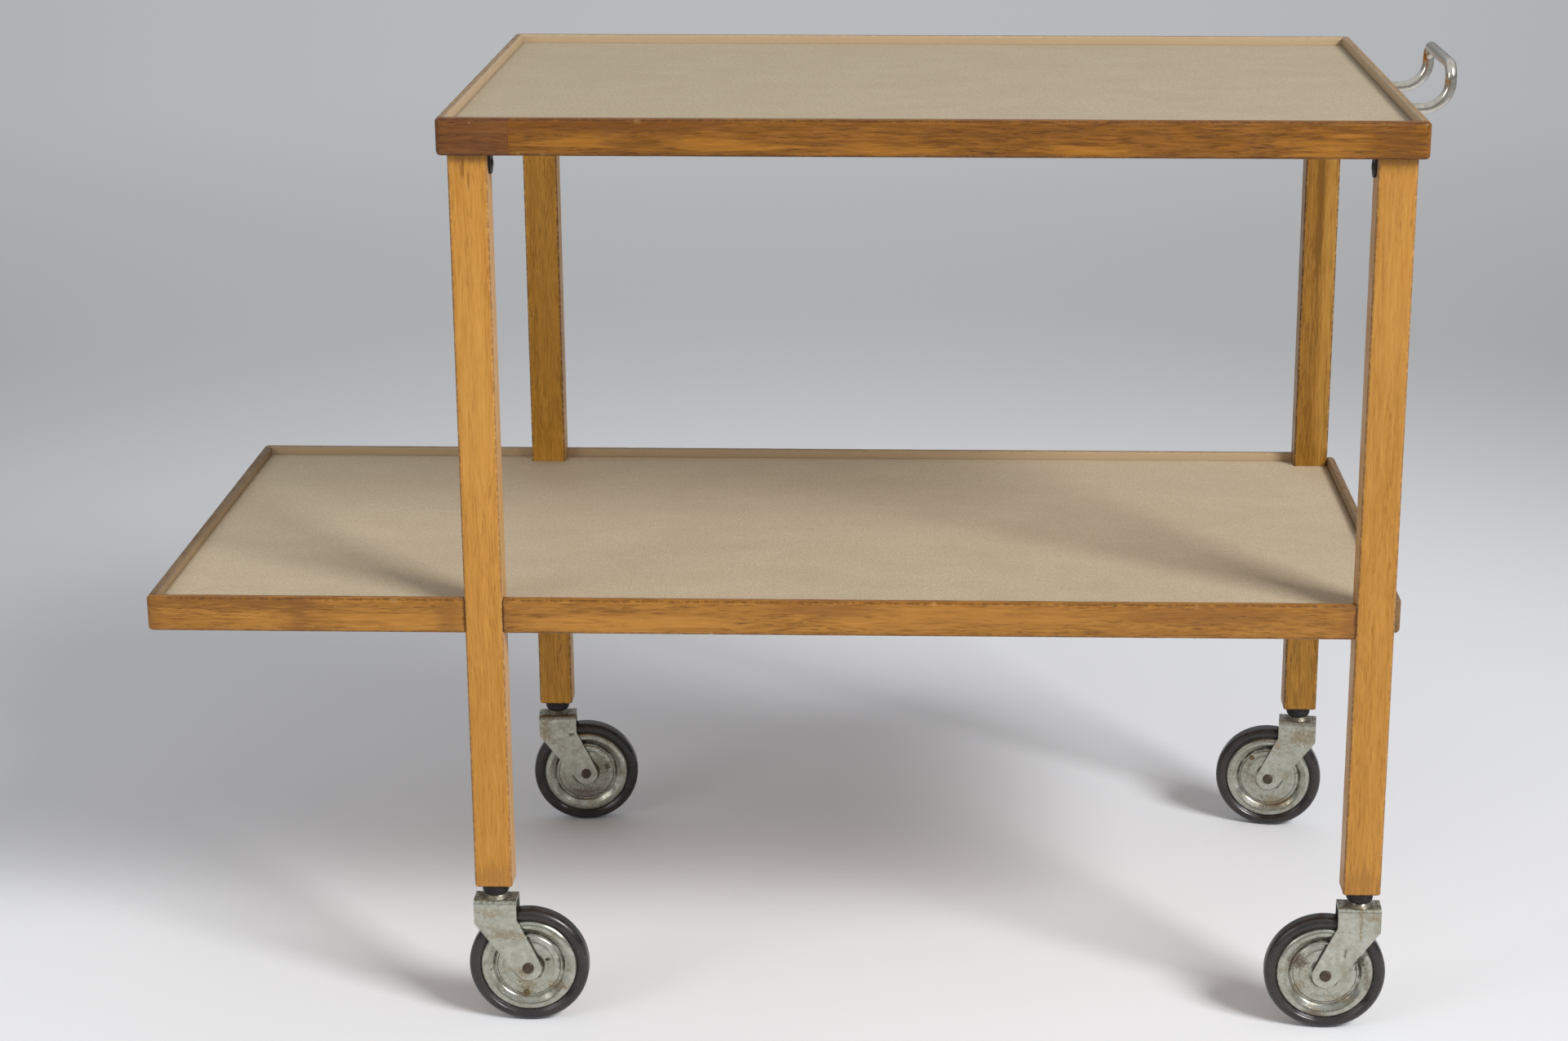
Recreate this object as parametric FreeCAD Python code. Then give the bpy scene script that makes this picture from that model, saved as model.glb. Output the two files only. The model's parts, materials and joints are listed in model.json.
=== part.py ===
import FreeCAD
import Part
import math
import os

# Two-tier wooden tea trolley on swivel casters, in millimetres.
# +Z is up from the floor, +X points at the handle and +Y at the back.
# The origin lies on the floor, under the middle of the whole trolley.

# Tiers
tray_length = 700.0        # over the rails, along X
tray_depth = 411.0         # over the rails, along Y
tray_height = 706.0        # floor to the rim
shelf_length = 930.0       # left end to the right rail's outer face
shelf_height = 345.5       # floor to the shelf's rim
panel_thickness = 17.0
linoleum_thickness = 2.0
linoleum_gap = 0.4         # thin open line between linoleum and wood

# Edge rails
rail_height = 27.0
rail_thickness = 7.0
rail_lip = 6.8             # rim above the linoleum
rail_arris = 3.0           # rounding of the outer long edges
rail_inner_arris = 1.2
rail_corner = 5.0          # plan radius of the outer corners
short_rail_length = 52.0   # the pieced-in left end of the tray's front rail
end_rail_inset = 15.0      # the shelf's right rail stops this far inside the shelf's depth

# Legs
leg_width = 28.5           # along X
leg_thickness = 22.0       # along Y
leg_arris = 1.8

# Dowels that hold the shelf's panel to the legs
dowel_radius = 4.0
dowel_in_leg = 12.0
dowel_in_panel = 20.0

# Angle brackets under the tray, one inside each leg
bracket_width = 14.0
bracket_drop = 17.0
bracket_reach = 26.0
bracket_thickness = 1.8
bracket_screw_inset = 7.5  # screw centre from the end of each arm

# Round-head wood screws
screw_head_radius = 3.6
screw_head_height = 1.2
screw_shank_radius = 1.7
screw_length = 13.0        # under the head

# Handle, one bent rod
handle_rod = 8.8           # diameter
handle_width = 100.0       # between the arms' centrelines
handle_reach = 39.4        # tray's end to the upright's centreline
handle_bend = 21.0         # bend from the arm into the upright
handle_upright = 1.0       # straight stretch between the two bends
handle_corner = 11.0       # bend from the upright into the grip
handle_socket = 55.0       # rod inside the tray's panel
handle_bore_gap = 0.1
handle_screw_depth = 30.0  # screw's place along the rod in the panel

# Casters
wheel_radius = 46.0
caster_trail = 24.0        # swivel axis to axle
fork_room = 10.0           # tread to the top of the fork's plate
fork_gap = 1.0             # tyre's side to the fork
fork_length = 32.5         # along the trail
fork_sheet = 2.0
fork_bend = 4.0            # outside radius of the plate's bends
fork_eye = 10.0            # radius of the plate round the axle
fork_front_drop = 16.5     # straight edge above the slant, on the wheel's side
fork_back_drop = 19.0      # the same, on the other side
boss_height = 3.0          # raised seat on the fork's plate
boss_radius = 9.5
boss_top_radius = 7.5
neck_height = 11.5         # fork's plate to the leg
cup_radius = 9.8           # swivel cup under the leg
cup_foot_radius = 8.0
cup_rim = 2.5              # straight part of the cup's wall
cup_swell = 1.2            # how far the wall below it bulges over a straight cone
swivel_gap = 0.3           # cup to boss
stem_radius = 4.0
stem_fit = 0.05            # running fit, radial
stem_length = 38.0         # inside the leg
stem_head_radius = 6.0
stem_head_height = 2.0
socket_wall = 1.5
stem_end_gap = 1.0         # stem's end to the socket's closed top
socket_cap = 2.0           # thickness of that top

# Wheels
tyre_height = 9.0          # tread to the steel disc's rim
tyre_width = 14.5
tyre_shoulder = 4.5
tyre_web = 5.0             # tyre that reaches in between the discs
tyre_web_gap = 0.2         # web to each disc
tyre_side_relief = 1.45    # the side stands back by this at the disc's rim
disc_sheet = 1.2
disc_gap = 0.1             # disc's rim to the tyre
bead_width = 7.0           # rolled bead at the disc's edge
bead_depth = 0.15          # its crest, below the tyre's side
rim_depth = 2.65           # the disc's rim, below the tyre's side
groove_width = 4.0
groove_depth = 3.85
dish_flat = 6.0            # flat ring inside the groove
dish_depth = 2.25
crown_depth = 0.85         # middle of the dish
crown_rise = 0.25          # how far the dish bulges over a straight cone
hub_radius = 5.0
hub_end_gap = 0.35         # hub to the fork
axle_radius = 3.0
axle_fit = 0.05            # running fit, radial
axle_head_radius = 4.4
axle_head_height = 2.2
rivet_count = 1
rivet_radius = 1.4
rivet_head_radius = 2.4
rivet_head_height = 1.0

# How each caster stands, in degrees: the trail's heading seen from above, from +X
caster_angle = {
    "front_left": 0.0,
    "front_right": 178.0,
    "back_left": 4.5,
    "back_right": 172.0,
}

# How each wheel stands, in degrees: its first rivet, from the trail's heading upwards
rivet_angle = {
    "front_left": 264.0,
    "front_right": 125.0,
    "back_left": 120.0,
    "back_right": 50.0,
}

# Places that follow from the sizes
tray_right = (shelf_length - handle_reach - handle_rod / 2) / 2
tray_left = tray_right - tray_length
shelf_left = tray_right - shelf_length
frame_right = tray_right - rail_thickness
frame_left = tray_left + rail_thickness
frame_depth = tray_depth - 2 * rail_thickness
frame_front = -frame_depth / 2
frame_back = frame_depth / 2

top_linoleum_z = tray_height - rail_lip - linoleum_thickness
top_panel_z = top_linoleum_z - panel_thickness
shelf_linoleum_z = shelf_height - rail_lip - linoleum_thickness
shelf_panel_z = shelf_linoleum_z - panel_thickness

fork_top = 2 * wheel_radius + fork_room
leg_foot = fork_top + neck_height
leg_top = top_panel_z
leg_x = {"left": frame_left + leg_width / 2, "right": frame_right - leg_width / 2}
leg_y = {"front": frame_front + leg_thickness / 2, "back": frame_back - leg_thickness / 2}
corners = [(depth_side, length_side) for depth_side in leg_y for length_side in leg_x]

handle_z = top_panel_z + panel_thickness / 2
grip_z = handle_z + handle_bend + handle_upright + handle_corner
upright_x = tray_right + handle_reach

tyre_half = tyre_width / 2
fork_inside = tyre_half + fork_gap
fork_width = 2 * (fork_inside + fork_sheet)
disc_radius = wheel_radius - tyre_height
dish_face = tyre_half - dish_depth
rim_face = tyre_half - rim_depth
stem_top = leg_foot + stem_length
socket_radius = stem_radius + stem_fit + socket_wall
socket_height = stem_length + stem_end_gap + socket_cap

touching = 0.001           # two places closer than this are one

X = FreeCAD.Vector(1, 0, 0)
Y = FreeCAD.Vector(0, 1, 0)
Z = FreeCAD.Vector(0, 0, 1)


def vec(x, y, z):
    return FreeCAD.Vector(x, y, z)


def block(x0, x1, y0, y1, z0, z1):
    """A box between two corners."""
    return Part.makeBox(x1 - x0, y1 - y0, z1 - z0, vec(x0, y0, z0))


def rod(start, along, length, radius):
    return Part.makeCylinder(radius, length, start, along)


def edges_along(shape, direction):
    """The straight edges that run along a direction."""
    straight = [edge for edge in shape.Edges if isinstance(edge.Curve, Part.Line)]
    return [edge for edge in straight if abs(edge.Curve.Direction.dot(direction)) > 1 - touching]


def edges_at(shape, z):
    """The edges that lie wholly at one height."""
    found = []
    for edge in shape.Edges:
        reach = edge.BoundBox
        if abs(reach.ZMin - z) < touching and abs(reach.ZMax - z) < touching:
            found.append(edge)
    return found


def turned(points, axis_point, axis):
    """A solid of revolution from a closed run of points; a triple of points is an arc."""
    edges = []
    for item in points:
        if len(item) == 3:
            edges.append(Part.Arc(*item).toShape())
        else:
            edges.append(Part.makeLine(*item))
    face = Part.Face(Part.Wire(edges))
    return face.revolve(axis_point, axis, 360)


def dome_middle(radius, height):
    """The point halfway along a ball-shaped head's profile, as a radius and a height."""
    ball = (radius ** 2 + height ** 2) / (2 * height)
    half_angle = math.asin(radius / ball) / 2
    return ball * math.sin(half_angle), height - ball + ball * math.cos(half_angle)


def wood_slab(x0, x1, y0, y1, z0, z1):
    """A block with rounded corners in plan and softened top and bottom edges."""
    slab = block(x0, x1, y0, y1, z0, z1)
    slab = slab.makeFillet(rail_corner, edges_along(slab, Z))
    return slab.makeFillet(rail_arris, edges_at(slab, z0) + edges_at(slab, z1))


def rail_ring(x0, x1, y0, y1, rim_z):
    """The rails of one tier as a closed frame, before it is parted into pieces."""
    outer = wood_slab(x0, x1, y0, y1, rim_z - rail_height, rim_z)
    inside = (x0 + rail_thickness, x1 - rail_thickness, y0 + rail_thickness, y1 - rail_thickness)
    ring = outer.cut(block(*inside, rim_z - 2 * rail_height, rim_z + rail_height))
    top_inner = []
    for edge in edges_at(ring, rim_z):
        reach = edge.BoundBox
        within_x = reach.XMin > inside[0] - touching and reach.XMax < inside[1] + touching
        within_y = reach.YMin > inside[2] - touching and reach.YMax < inside[3] + touching
        if within_x and within_y:
            top_inner.append(edge)
    return ring.makeFillet(rail_inner_arris, top_inner)


def tray_pieces():
    front, back = -tray_depth / 2, tray_depth / 2
    ring = rail_ring(tray_left, tray_right, front, back, tray_height)
    low, high = tray_height - 2 * rail_height, tray_height + rail_height
    seam_x = tray_left + short_rail_length
    panel = block(frame_left, frame_right, frame_front, frame_back, top_panel_z, top_linoleum_z)
    right_rail = ring.common(block(frame_right, tray_right, frame_front, frame_back, low, high))
    for side in (-1, 1):
        arm_y = side * handle_width / 2
        bore_radius = handle_rod / 2 + handle_bore_gap
        bore_start = vec(frame_right - handle_socket, arm_y, handle_z)
        bore = rod(bore_start, X, handle_socket + 2 * rail_thickness, bore_radius)
        panel = panel.cut(bore)
        right_rail = right_rail.cut(bore)
        panel = panel.cut(handle_screw_shank(side))
    for corner in corners:
        for shank in bracket_shanks(*corner):
            panel = panel.cut(shank)
    linoleum = block(frame_left + linoleum_gap, frame_right - linoleum_gap,
                     frame_front + linoleum_gap, frame_back - linoleum_gap,
                     top_linoleum_z, top_linoleum_z + linoleum_thickness)
    return {
        "top_panel": panel,
        "top_linoleum": linoleum,
        "top_rail_front_long": ring.common(block(seam_x, tray_right, front, frame_front, low, high)),
        "top_rail_front_short": ring.common(block(tray_left, seam_x, front, frame_front, low, high)),
        "top_rail_back": ring.common(block(tray_left, tray_right, frame_back, back, low, high)),
        "top_rail_left": ring.common(block(tray_left, frame_left, frame_front, frame_back, low, high)),
        "top_rail_right": right_rail,
    }


def leg_section(depth_side, length_side, z0, z1, gap=0.0):
    """A square-edged block on a leg's section, with a gap all round."""
    x, y = leg_x[length_side], leg_y[depth_side]
    half_x, half_y = leg_width / 2 + gap, leg_thickness / 2 + gap
    return block(x - half_x, x + half_x, y - half_y, y + half_y, z0, z1)


def shelf_pieces():
    # The frame is drawn past the right legs and cut there, so only its left corners are rounded.
    ring = rail_ring(shelf_left, frame_right + leg_width, frame_front, frame_back, shelf_height)
    low, high = shelf_height - 2 * rail_height, shelf_height + rail_height
    inner_front, inner_back = frame_front + rail_thickness, frame_back - rail_thickness
    inner_left = shelf_left + rail_thickness
    left_inside, right_inside = frame_left + leg_width, frame_right - leg_width

    panel = block(inner_left, frame_right, inner_front, inner_back, shelf_panel_z, shelf_linoleum_z)
    linoleum = block(inner_left + linoleum_gap, frame_right - linoleum_gap,
                     inner_front + linoleum_gap, inner_back - linoleum_gap,
                     shelf_linoleum_z, shelf_linoleum_z + linoleum_thickness)
    for corner in corners:
        panel = panel.cut(leg_section(*corner, low, high)).cut(dowel(*corner))
        linoleum = linoleum.cut(leg_section(*corner, low, high, linoleum_gap))

    end_front, end_back = frame_front + end_rail_inset, frame_back - end_rail_inset
    end_rail = wood_slab(frame_right - leg_width, tray_right, end_front, end_back,
                         shelf_height - rail_height, shelf_height)
    pieces = {
        "shelf_panel": panel,
        "shelf_linoleum": linoleum,
        "shelf_rail_left": ring.common(block(shelf_left, inner_left, inner_front, inner_back, low, high)),
        "shelf_rail_right": end_rail.common(block(frame_right, tray_right, end_front, end_back, low, high)),
    }
    for side, y0, y1 in (("front", frame_front, inner_front), ("back", inner_back, frame_back)):
        pieces["shelf_rail_%s_left" % side] = ring.common(block(shelf_left, frame_left, y0, y1, low, high))
        pieces["shelf_rail_%s_mid" % side] = ring.common(block(left_inside, right_inside, y0, y1, low, high))
    return pieces


def dowel(depth_side, length_side):
    """A dowel from the leg's inner face both ways, into the leg and into the shelf's panel."""
    inward = 1 if depth_side == "front" else -1
    face_y = leg_y[depth_side] + inward * leg_thickness / 2
    start = vec(leg_x[length_side], face_y - inward * dowel_in_leg, shelf_panel_z + panel_thickness / 2)
    return rod(start, Y * inward, dowel_in_leg + dowel_in_panel, dowel_radius)


def leg(depth_side, length_side):
    post = leg_section(depth_side, length_side, leg_foot, leg_top)
    post = post.makeFillet(leg_arris, edges_along(post, Z) + edges_at(post, leg_foot))
    foot = vec(leg_x[length_side], leg_y[depth_side], leg_foot)
    post = post.cut(rod(foot, Z, socket_height, socket_radius))
    for shank in bracket_shanks(depth_side, length_side):
        post = post.cut(shank)
    return post.cut(dowel(depth_side, length_side))


def screw(seat, along, length=screw_length):
    """A round-head screw: its head stands on the seat and its shank runs along the given way."""
    mid_radius, mid_height = dome_middle(screw_head_radius, screw_head_height)
    edge = seat + Y * screw_head_radius
    middle = seat + Y * mid_radius - along * mid_height
    crown = seat - along * screw_head_height
    head = turned([(seat, edge), (edge, middle, crown), (crown, seat)], seat, along)
    return head.fuse(rod(seat, along, length, screw_shank_radius)).removeSplitter()


def bracket_frame(depth_side, length_side):
    """Where a bracket's corner sits, and which way along X it reaches from its leg."""
    inward = 1 if length_side == "left" else -1
    return leg_x[length_side] + inward * leg_width / 2, leg_y[depth_side], inward


def bracket_seats(depth_side, length_side):
    """The screw heads' seats and directions: one into the leg, one up into the tray's panel."""
    x, y, inward = bracket_frame(depth_side, length_side)
    low_z = top_panel_z - bracket_drop + bracket_screw_inset
    far_x = x + inward * (bracket_reach - bracket_screw_inset)
    return [
        (vec(x + inward * bracket_thickness, y, low_z), X * -inward),
        (vec(far_x, y, top_panel_z - bracket_thickness), Z),
    ]


def bracket_shanks(depth_side, length_side):
    """The screws' holes; each runs on from the head's seat."""
    return [rod(seat, along, screw_length, screw_shank_radius)
            for seat, along in bracket_seats(depth_side, length_side)]


def bracket(depth_side, length_side):
    x, y, inward = bracket_frame(depth_side, length_side)
    half = bracket_width / 2
    tip_z = top_panel_z - bracket_drop + half
    tip_x = x + inward * (bracket_reach - half)
    inner_x = x + inward * bracket_thickness
    upright = block(min(x, inner_x), max(x, inner_x), y - half, y + half, tip_z, top_panel_z)
    arm_z = top_panel_z - bracket_thickness
    arm = block(min(x, tip_x), max(x, tip_x), y - half, y + half, arm_z, top_panel_z)
    plate = upright.fuse([
        rod(vec(min(x, inner_x), y, tip_z), X, bracket_thickness, half),
        arm,
        rod(vec(tip_x, y, arm_z), Z, bracket_thickness, half),
    ])
    for shank in bracket_shanks(depth_side, length_side):
        plate = plate.cut(shank)
    return plate.removeSplitter()


def handle_screw_seat(side):
    return vec(frame_right - handle_screw_depth, side * handle_width / 2, top_panel_z)


def handle_screw_shank(side):
    """The handle's screw reaches from under the panel to the rod's centreline."""
    return rod(handle_screw_seat(side), Z, handle_z - top_panel_z, screw_shank_radius)


def handle():
    """A rod bent out of the tray's end, up, and across."""
    half = handle_width / 2
    bend_x = upright_x - handle_bend
    bend_z = handle_z + handle_bend
    corner_z = grip_z - handle_corner
    corner_y = half - handle_corner
    slant = math.sqrt(0.5)
    edges = []
    for side in (-1, 1):
        y = side * half
        arm_end = vec(bend_x, y, handle_z)
        upright_foot = vec(upright_x, y, bend_z)
        upright_top = vec(upright_x, y, corner_z)
        bend_mid = vec(bend_x + handle_bend * slant, y, bend_z - handle_bend * slant)
        corner_mid_y = side * (corner_y + handle_corner * slant)
        corner_mid = vec(upright_x, corner_mid_y, corner_z + handle_corner * slant)
        edges += [
            Part.makeLine(vec(frame_right - handle_socket, y, handle_z), arm_end),
            Part.Arc(arm_end, bend_mid, upright_foot).toShape(),
            Part.makeLine(upright_foot, upright_top),
            Part.Arc(upright_top, corner_mid, vec(upright_x, side * corner_y, grip_z)).toShape(),
        ]
    edges.append(Part.makeLine(vec(upright_x, -corner_y, grip_z), vec(upright_x, corner_y, grip_z)))
    path = Part.Wire(Part.__sortEdges__(edges))
    start = path.OrderedVertexes[0].Point
    section = Part.Wire(Part.makeCircle(handle_rod / 2, start, X))
    bar = path.makePipeShell([section], True, True)
    for side in (-1, 1):
        bar = bar.cut(handle_screw_shank(side))
    return bar


def stem_socket(depth_side, length_side):
    """The steel sleeve driven into a leg's end; the stem turns inside it."""
    foot = vec(leg_x[length_side], leg_y[depth_side], leg_foot)
    sleeve = rod(foot, Z, socket_height, socket_radius)
    return sleeve.cut(rod(foot, Z, stem_length + stem_end_gap, stem_radius + stem_fit))


def swivel_cup(depth_side, length_side):
    """The cup between a leg and its fork, round the stem."""
    x, y = leg_x[length_side], leg_y[depth_side]
    foot_z = fork_top + boss_height + swivel_gap
    bore = stem_radius + stem_fit
    wall_z = leg_foot - cup_rim
    mid_radius = (cup_radius + cup_foot_radius) / 2 + cup_swell
    mid_z = (wall_z + foot_z) / 2

    def at(radius, z):
        return vec(x + radius, y, z)

    return turned([
        (at(bore, leg_foot), at(cup_radius, leg_foot)),
        (at(cup_radius, leg_foot), at(cup_radius, wall_z)),
        (at(cup_radius, wall_z), at(mid_radius, mid_z), at(cup_foot_radius, foot_z)),
        (at(cup_foot_radius, foot_z), at(bore, foot_z)),
        (at(bore, foot_z), at(bore, leg_foot)),
    ], vec(x, y, 0), Z)


# The caster's pieces are drawn with the swivel axis at the origin and the wheel trailing along +X.
def fork():
    """A plate bent down both sides of the wheel, with a raised seat for the cup."""
    half = fork_width / 2
    run = fork_length / 2
    reach = max(run, caster_trail + fork_eye) + fork_sheet
    shell = block(-run, reach, -half, half, 0, fork_top)
    bends = [edge for edge in edges_along(shell, X) if edge.BoundBox.ZMin > fork_top - touching]
    shell = shell.makeFillet(fork_bend, bends)
    room = block(-run, reach, -fork_inside, fork_inside, 0, fork_top - fork_sheet)
    bends = [edge for edge in edges_along(room, X) if edge.BoundBox.ZMin > fork_top - fork_sheet - touching]
    room = room.makeFillet(fork_bend - fork_sheet, bends)
    shell = shell.cut(room)

    front_corner = (run, fork_top - fork_front_drop)
    back_corner = (-run, fork_top - fork_back_drop)
    front_touch = tangent_point(front_corner, 1)
    back_touch = tangent_point(back_corner, -1)
    low_point = (caster_trail, wheel_radius - fork_eye)
    outline = [(-run, fork_top), (run, fork_top), front_corner, front_touch]
    points = [vec(x, -fork_width, z) for x, z in outline]
    edges = [Part.makeLine(a, b) for a, b in zip(points, points[1:])]
    touch = vec(back_touch[0], -fork_width, back_touch[1])
    edges.append(Part.Arc(points[-1], vec(low_point[0], -fork_width, low_point[1]), touch).toShape())
    corner = vec(back_corner[0], -fork_width, back_corner[1])
    edges += [Part.makeLine(touch, corner), Part.makeLine(corner, points[0])]
    side_view = Part.Face(Part.Wire(edges)).extrude(Y * (2 * fork_width))

    boss = Part.makeCone(boss_radius, boss_top_radius, boss_height, vec(0, 0, fork_top), Z)
    stem_hole = rod(vec(0, 0, fork_top - fork_sheet), Z, fork_sheet + boss_height, stem_radius)
    axle_hole = rod(vec(caster_trail, -fork_width, wheel_radius), Y, 2 * fork_width, axle_radius)
    return shell.common(side_view).fuse(boss).cut(stem_hole).cut(axle_hole).removeSplitter()


def tangent_point(corner, turn):
    """Where a line from a corner touches the eye's circle; turn picks the side."""
    dx, dz = corner[0] - caster_trail, corner[1] - wheel_radius
    heading = math.atan2(dz, dx)
    opening = math.acos(fork_eye / math.hypot(dx, dz))
    angle = heading - turn * opening
    return (caster_trail + fork_eye * math.cos(angle), wheel_radius + fork_eye * math.sin(angle))


def stem():
    """The swivel pin, with its riveted head under the fork's plate."""
    head_top = fork_top - fork_sheet
    pin = rod(vec(0, 0, head_top - stem_head_height), Z, stem_top - head_top + stem_head_height, stem_radius)
    head = rod(vec(0, 0, head_top - stem_head_height), Z, stem_head_height, stem_head_radius)
    return pin.fuse(head).removeSplitter()


def wheel_point(y, radius):
    return vec(caster_trail, y, wheel_radius + radius)


def headed_pin(centre, half_length, radius, head_radius, head_height):
    """A pin along Y with a domed head at each end."""
    mid_radius, mid_height = dome_middle(head_radius, head_height)

    def at(y, out):
        return centre + vec(0, y, out)

    crown = half_length + head_height
    middle = half_length + mid_height
    return turned([
        (at(-crown, 0), at(-middle, mid_radius), at(-half_length, head_radius)),
        (at(-half_length, head_radius), at(-half_length, radius)),
        (at(-half_length, radius), at(half_length, radius)),
        (at(half_length, radius), at(half_length, head_radius)),
        (at(half_length, head_radius), at(middle, mid_radius), at(crown, 0)),
        (at(crown, 0), at(-crown, 0)),
    ], centre, Y)


def axle():
    """The rivet-headed pin across the fork."""
    return headed_pin(wheel_point(0, 0), fork_width / 2, axle_radius, axle_head_radius, axle_head_height)


def hub_bush():
    half = fork_inside - hub_end_gap
    start = wheel_point(-half, 0)
    return rod(start, Y, 2 * half, hub_radius).cut(rod(start, Y, 2 * half, axle_radius + axle_fit))


def disc(side, corner):
    """A pressed steel half of the wheel: crowned dish, groove and rolled bead."""
    bead_inner = disc_radius - bead_width
    groove_inner = bead_inner - groove_width
    flat_inner = groove_inner - dish_flat
    crown = tyre_half - crown_depth
    crown_mid = (crown + dish_face) / 2 + crown_rise
    groove_floor = tyre_half - groove_depth
    bead_crest = tyre_half - bead_depth
    profile = [
        ((hub_radius, crown), ((hub_radius + flat_inner) / 2, crown_mid), (flat_inner, dish_face)),
        ((flat_inner, dish_face), (groove_inner, dish_face)),
        ((groove_inner, dish_face), ((groove_inner + bead_inner) / 2, groove_floor), (bead_inner, dish_face)),
        ((bead_inner, dish_face), ((bead_inner + disc_radius) / 2, bead_crest), (disc_radius, rim_face)),
    ]

    def place(point, inset):
        return wheel_point(side * (point[1] - inset), point[0])

    outer_face = [tuple(place(p, 0) for p in item) for item in profile]
    inner_face = [tuple(place(p, disc_sheet) for p in reversed(item)) for item in reversed(profile)]
    rim = (outer_face[-1][-1], inner_face[0][0])
    bore = (inner_face[-1][-1], outer_face[0][0])
    shell = turned(outer_face + [rim] + inner_face + [bore], wheel_point(0, 0), Y)
    for hole in rivet_places(corner):
        shell = shell.cut(rod(hole - Y * fork_width, Y, 2 * fork_width, rivet_radius))
    return shell


def rivet_places(corner):
    """The rivets' centres, on the flat ring of the dish."""
    circle = disc_radius - bead_width - groove_width - dish_flat / 2
    places = []
    for step in range(rivet_count):
        angle = math.radians(rivet_angle[corner] + step * 360.0 / rivet_count)
        places.append(wheel_point(0, 0) + vec(circle * math.cos(angle), 0, circle * math.sin(angle)))
    return places


def disc_rivets(corner):
    """Rivets that draw the two discs together."""
    sizes = (dish_face, rivet_radius, rivet_head_radius, rivet_head_height)
    return Part.makeCompound([headed_pin(place, *sizes) for place in rivet_places(corner)])


def tyre():
    """A solid tyre whose web is held between the discs."""
    side = tyre_half - tyre_side_relief
    web = rim_face - disc_sheet - tyre_web_gap
    seat = disc_radius + disc_gap
    web_inner = disc_radius - tyre_web
    swell = wheel_radius - tyre_shoulder
    tread = tyre_half - tyre_shoulder
    slant = tyre_shoulder * math.sqrt(0.5)

    def wall(sign):
        """One sidewall, from the web outwards to the tread."""
        corner = wheel_point(sign * (tread + slant), swell + slant)
        return [
            (wheel_point(sign * web, web_inner), wheel_point(sign * web, seat)),
            (wheel_point(sign * web, seat), wheel_point(sign * side, seat)),
            (wheel_point(sign * side, seat), wheel_point(sign * tyre_half, swell)),
            (wheel_point(sign * tyre_half, swell), corner, wheel_point(sign * tread, wheel_radius)),
        ]

    far_wall = [tuple(reversed(item)) for item in reversed(wall(1))]
    tread_line = (wheel_point(-tread, wheel_radius), wheel_point(tread, wheel_radius))
    inner_line = (wheel_point(web, web_inner), wheel_point(-web, web_inner))
    return turned(wall(-1) + [tread_line] + far_wall + [inner_line], wheel_point(0, 0), Y)


def placed(shape, depth_side, length_side):
    """A caster's piece, turned to its heading under its leg."""
    turn = FreeCAD.Rotation(Z, caster_angle["%s_%s" % (depth_side, length_side)])
    spot = FreeCAD.Placement(vec(leg_x[length_side], leg_y[depth_side], 0), turn)
    moved = shape.copy()
    moved.transformShape(spot.toMatrix())
    return moved


def caster_pieces():
    pieces = {}
    for corner in corners:
        corner_name = "%s_%s" % corner
        drawn = {
            "stem": stem(),
            "fork": fork(),
            "axle": axle(),
            "hub_bush": hub_bush(),
            "disc_outer": disc(-1, corner_name),
            "disc_inner": disc(1, corner_name),
            "disc_rivets": disc_rivets(corner_name),
            "tyre": tyre(),
        }
        for name, shape in drawn.items():
            pieces["%s_%s" % (name, corner_name)] = placed(shape, *corner)
    return pieces


def group(maker):
    """One solid for each leg, kept separate in one node."""
    return Part.makeCompound([maker(*corner) for corner in corners])


def bracket_screws():
    screws = []
    for corner in corners:
        screws += [screw(seat, along) for seat, along in bracket_seats(*corner)]
    return Part.makeCompound(screws)


def handle_screws():
    reach = handle_z - top_panel_z
    return Part.makeCompound([screw(handle_screw_seat(side), Z, reach) for side in (-1, 1)])


def all_pieces():
    pieces = tray_pieces()
    pieces.update(shelf_pieces())
    for corner in corners:
        pieces["leg_%s_%s" % corner] = leg(*corner)
    pieces["shelf_dowels"] = group(dowel)
    pieces["leg_brackets"] = group(bracket)
    pieces["bracket_screws"] = bracket_screws()
    pieces["handle"] = handle()
    pieces["handle_screws"] = handle_screws()
    pieces["stem_sockets"] = group(stem_socket)
    pieces["swivel_cups"] = group(swivel_cup)
    pieces.update(caster_pieces())
    return pieces


os.makedirs("parts", exist_ok=True)
for node, shape in all_pieces().items():
    shape.exportStep("parts/%s.step" % node)
    print("%-28s solids %d  valid %s" % (node, len(shape.Solids), shape.isValid()))
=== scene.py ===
import json
import math
import random

import bmesh
import bpy
from mathutils import Matrix, Vector, noise


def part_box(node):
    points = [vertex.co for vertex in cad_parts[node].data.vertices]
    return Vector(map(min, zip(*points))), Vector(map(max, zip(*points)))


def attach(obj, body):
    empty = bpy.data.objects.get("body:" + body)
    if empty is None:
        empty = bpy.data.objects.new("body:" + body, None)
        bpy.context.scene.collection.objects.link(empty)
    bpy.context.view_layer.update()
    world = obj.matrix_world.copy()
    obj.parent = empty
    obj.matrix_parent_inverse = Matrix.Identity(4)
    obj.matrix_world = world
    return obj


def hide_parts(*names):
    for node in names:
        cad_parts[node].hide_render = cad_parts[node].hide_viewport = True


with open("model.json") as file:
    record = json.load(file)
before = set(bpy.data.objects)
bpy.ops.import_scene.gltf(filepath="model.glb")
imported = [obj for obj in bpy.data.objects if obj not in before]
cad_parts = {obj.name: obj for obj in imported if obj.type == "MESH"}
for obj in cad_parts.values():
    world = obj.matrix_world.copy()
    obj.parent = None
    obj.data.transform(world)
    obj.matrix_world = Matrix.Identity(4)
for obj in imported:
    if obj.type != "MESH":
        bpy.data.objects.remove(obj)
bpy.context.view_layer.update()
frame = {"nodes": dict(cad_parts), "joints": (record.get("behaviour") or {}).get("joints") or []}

millimetre = 0.001
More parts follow.
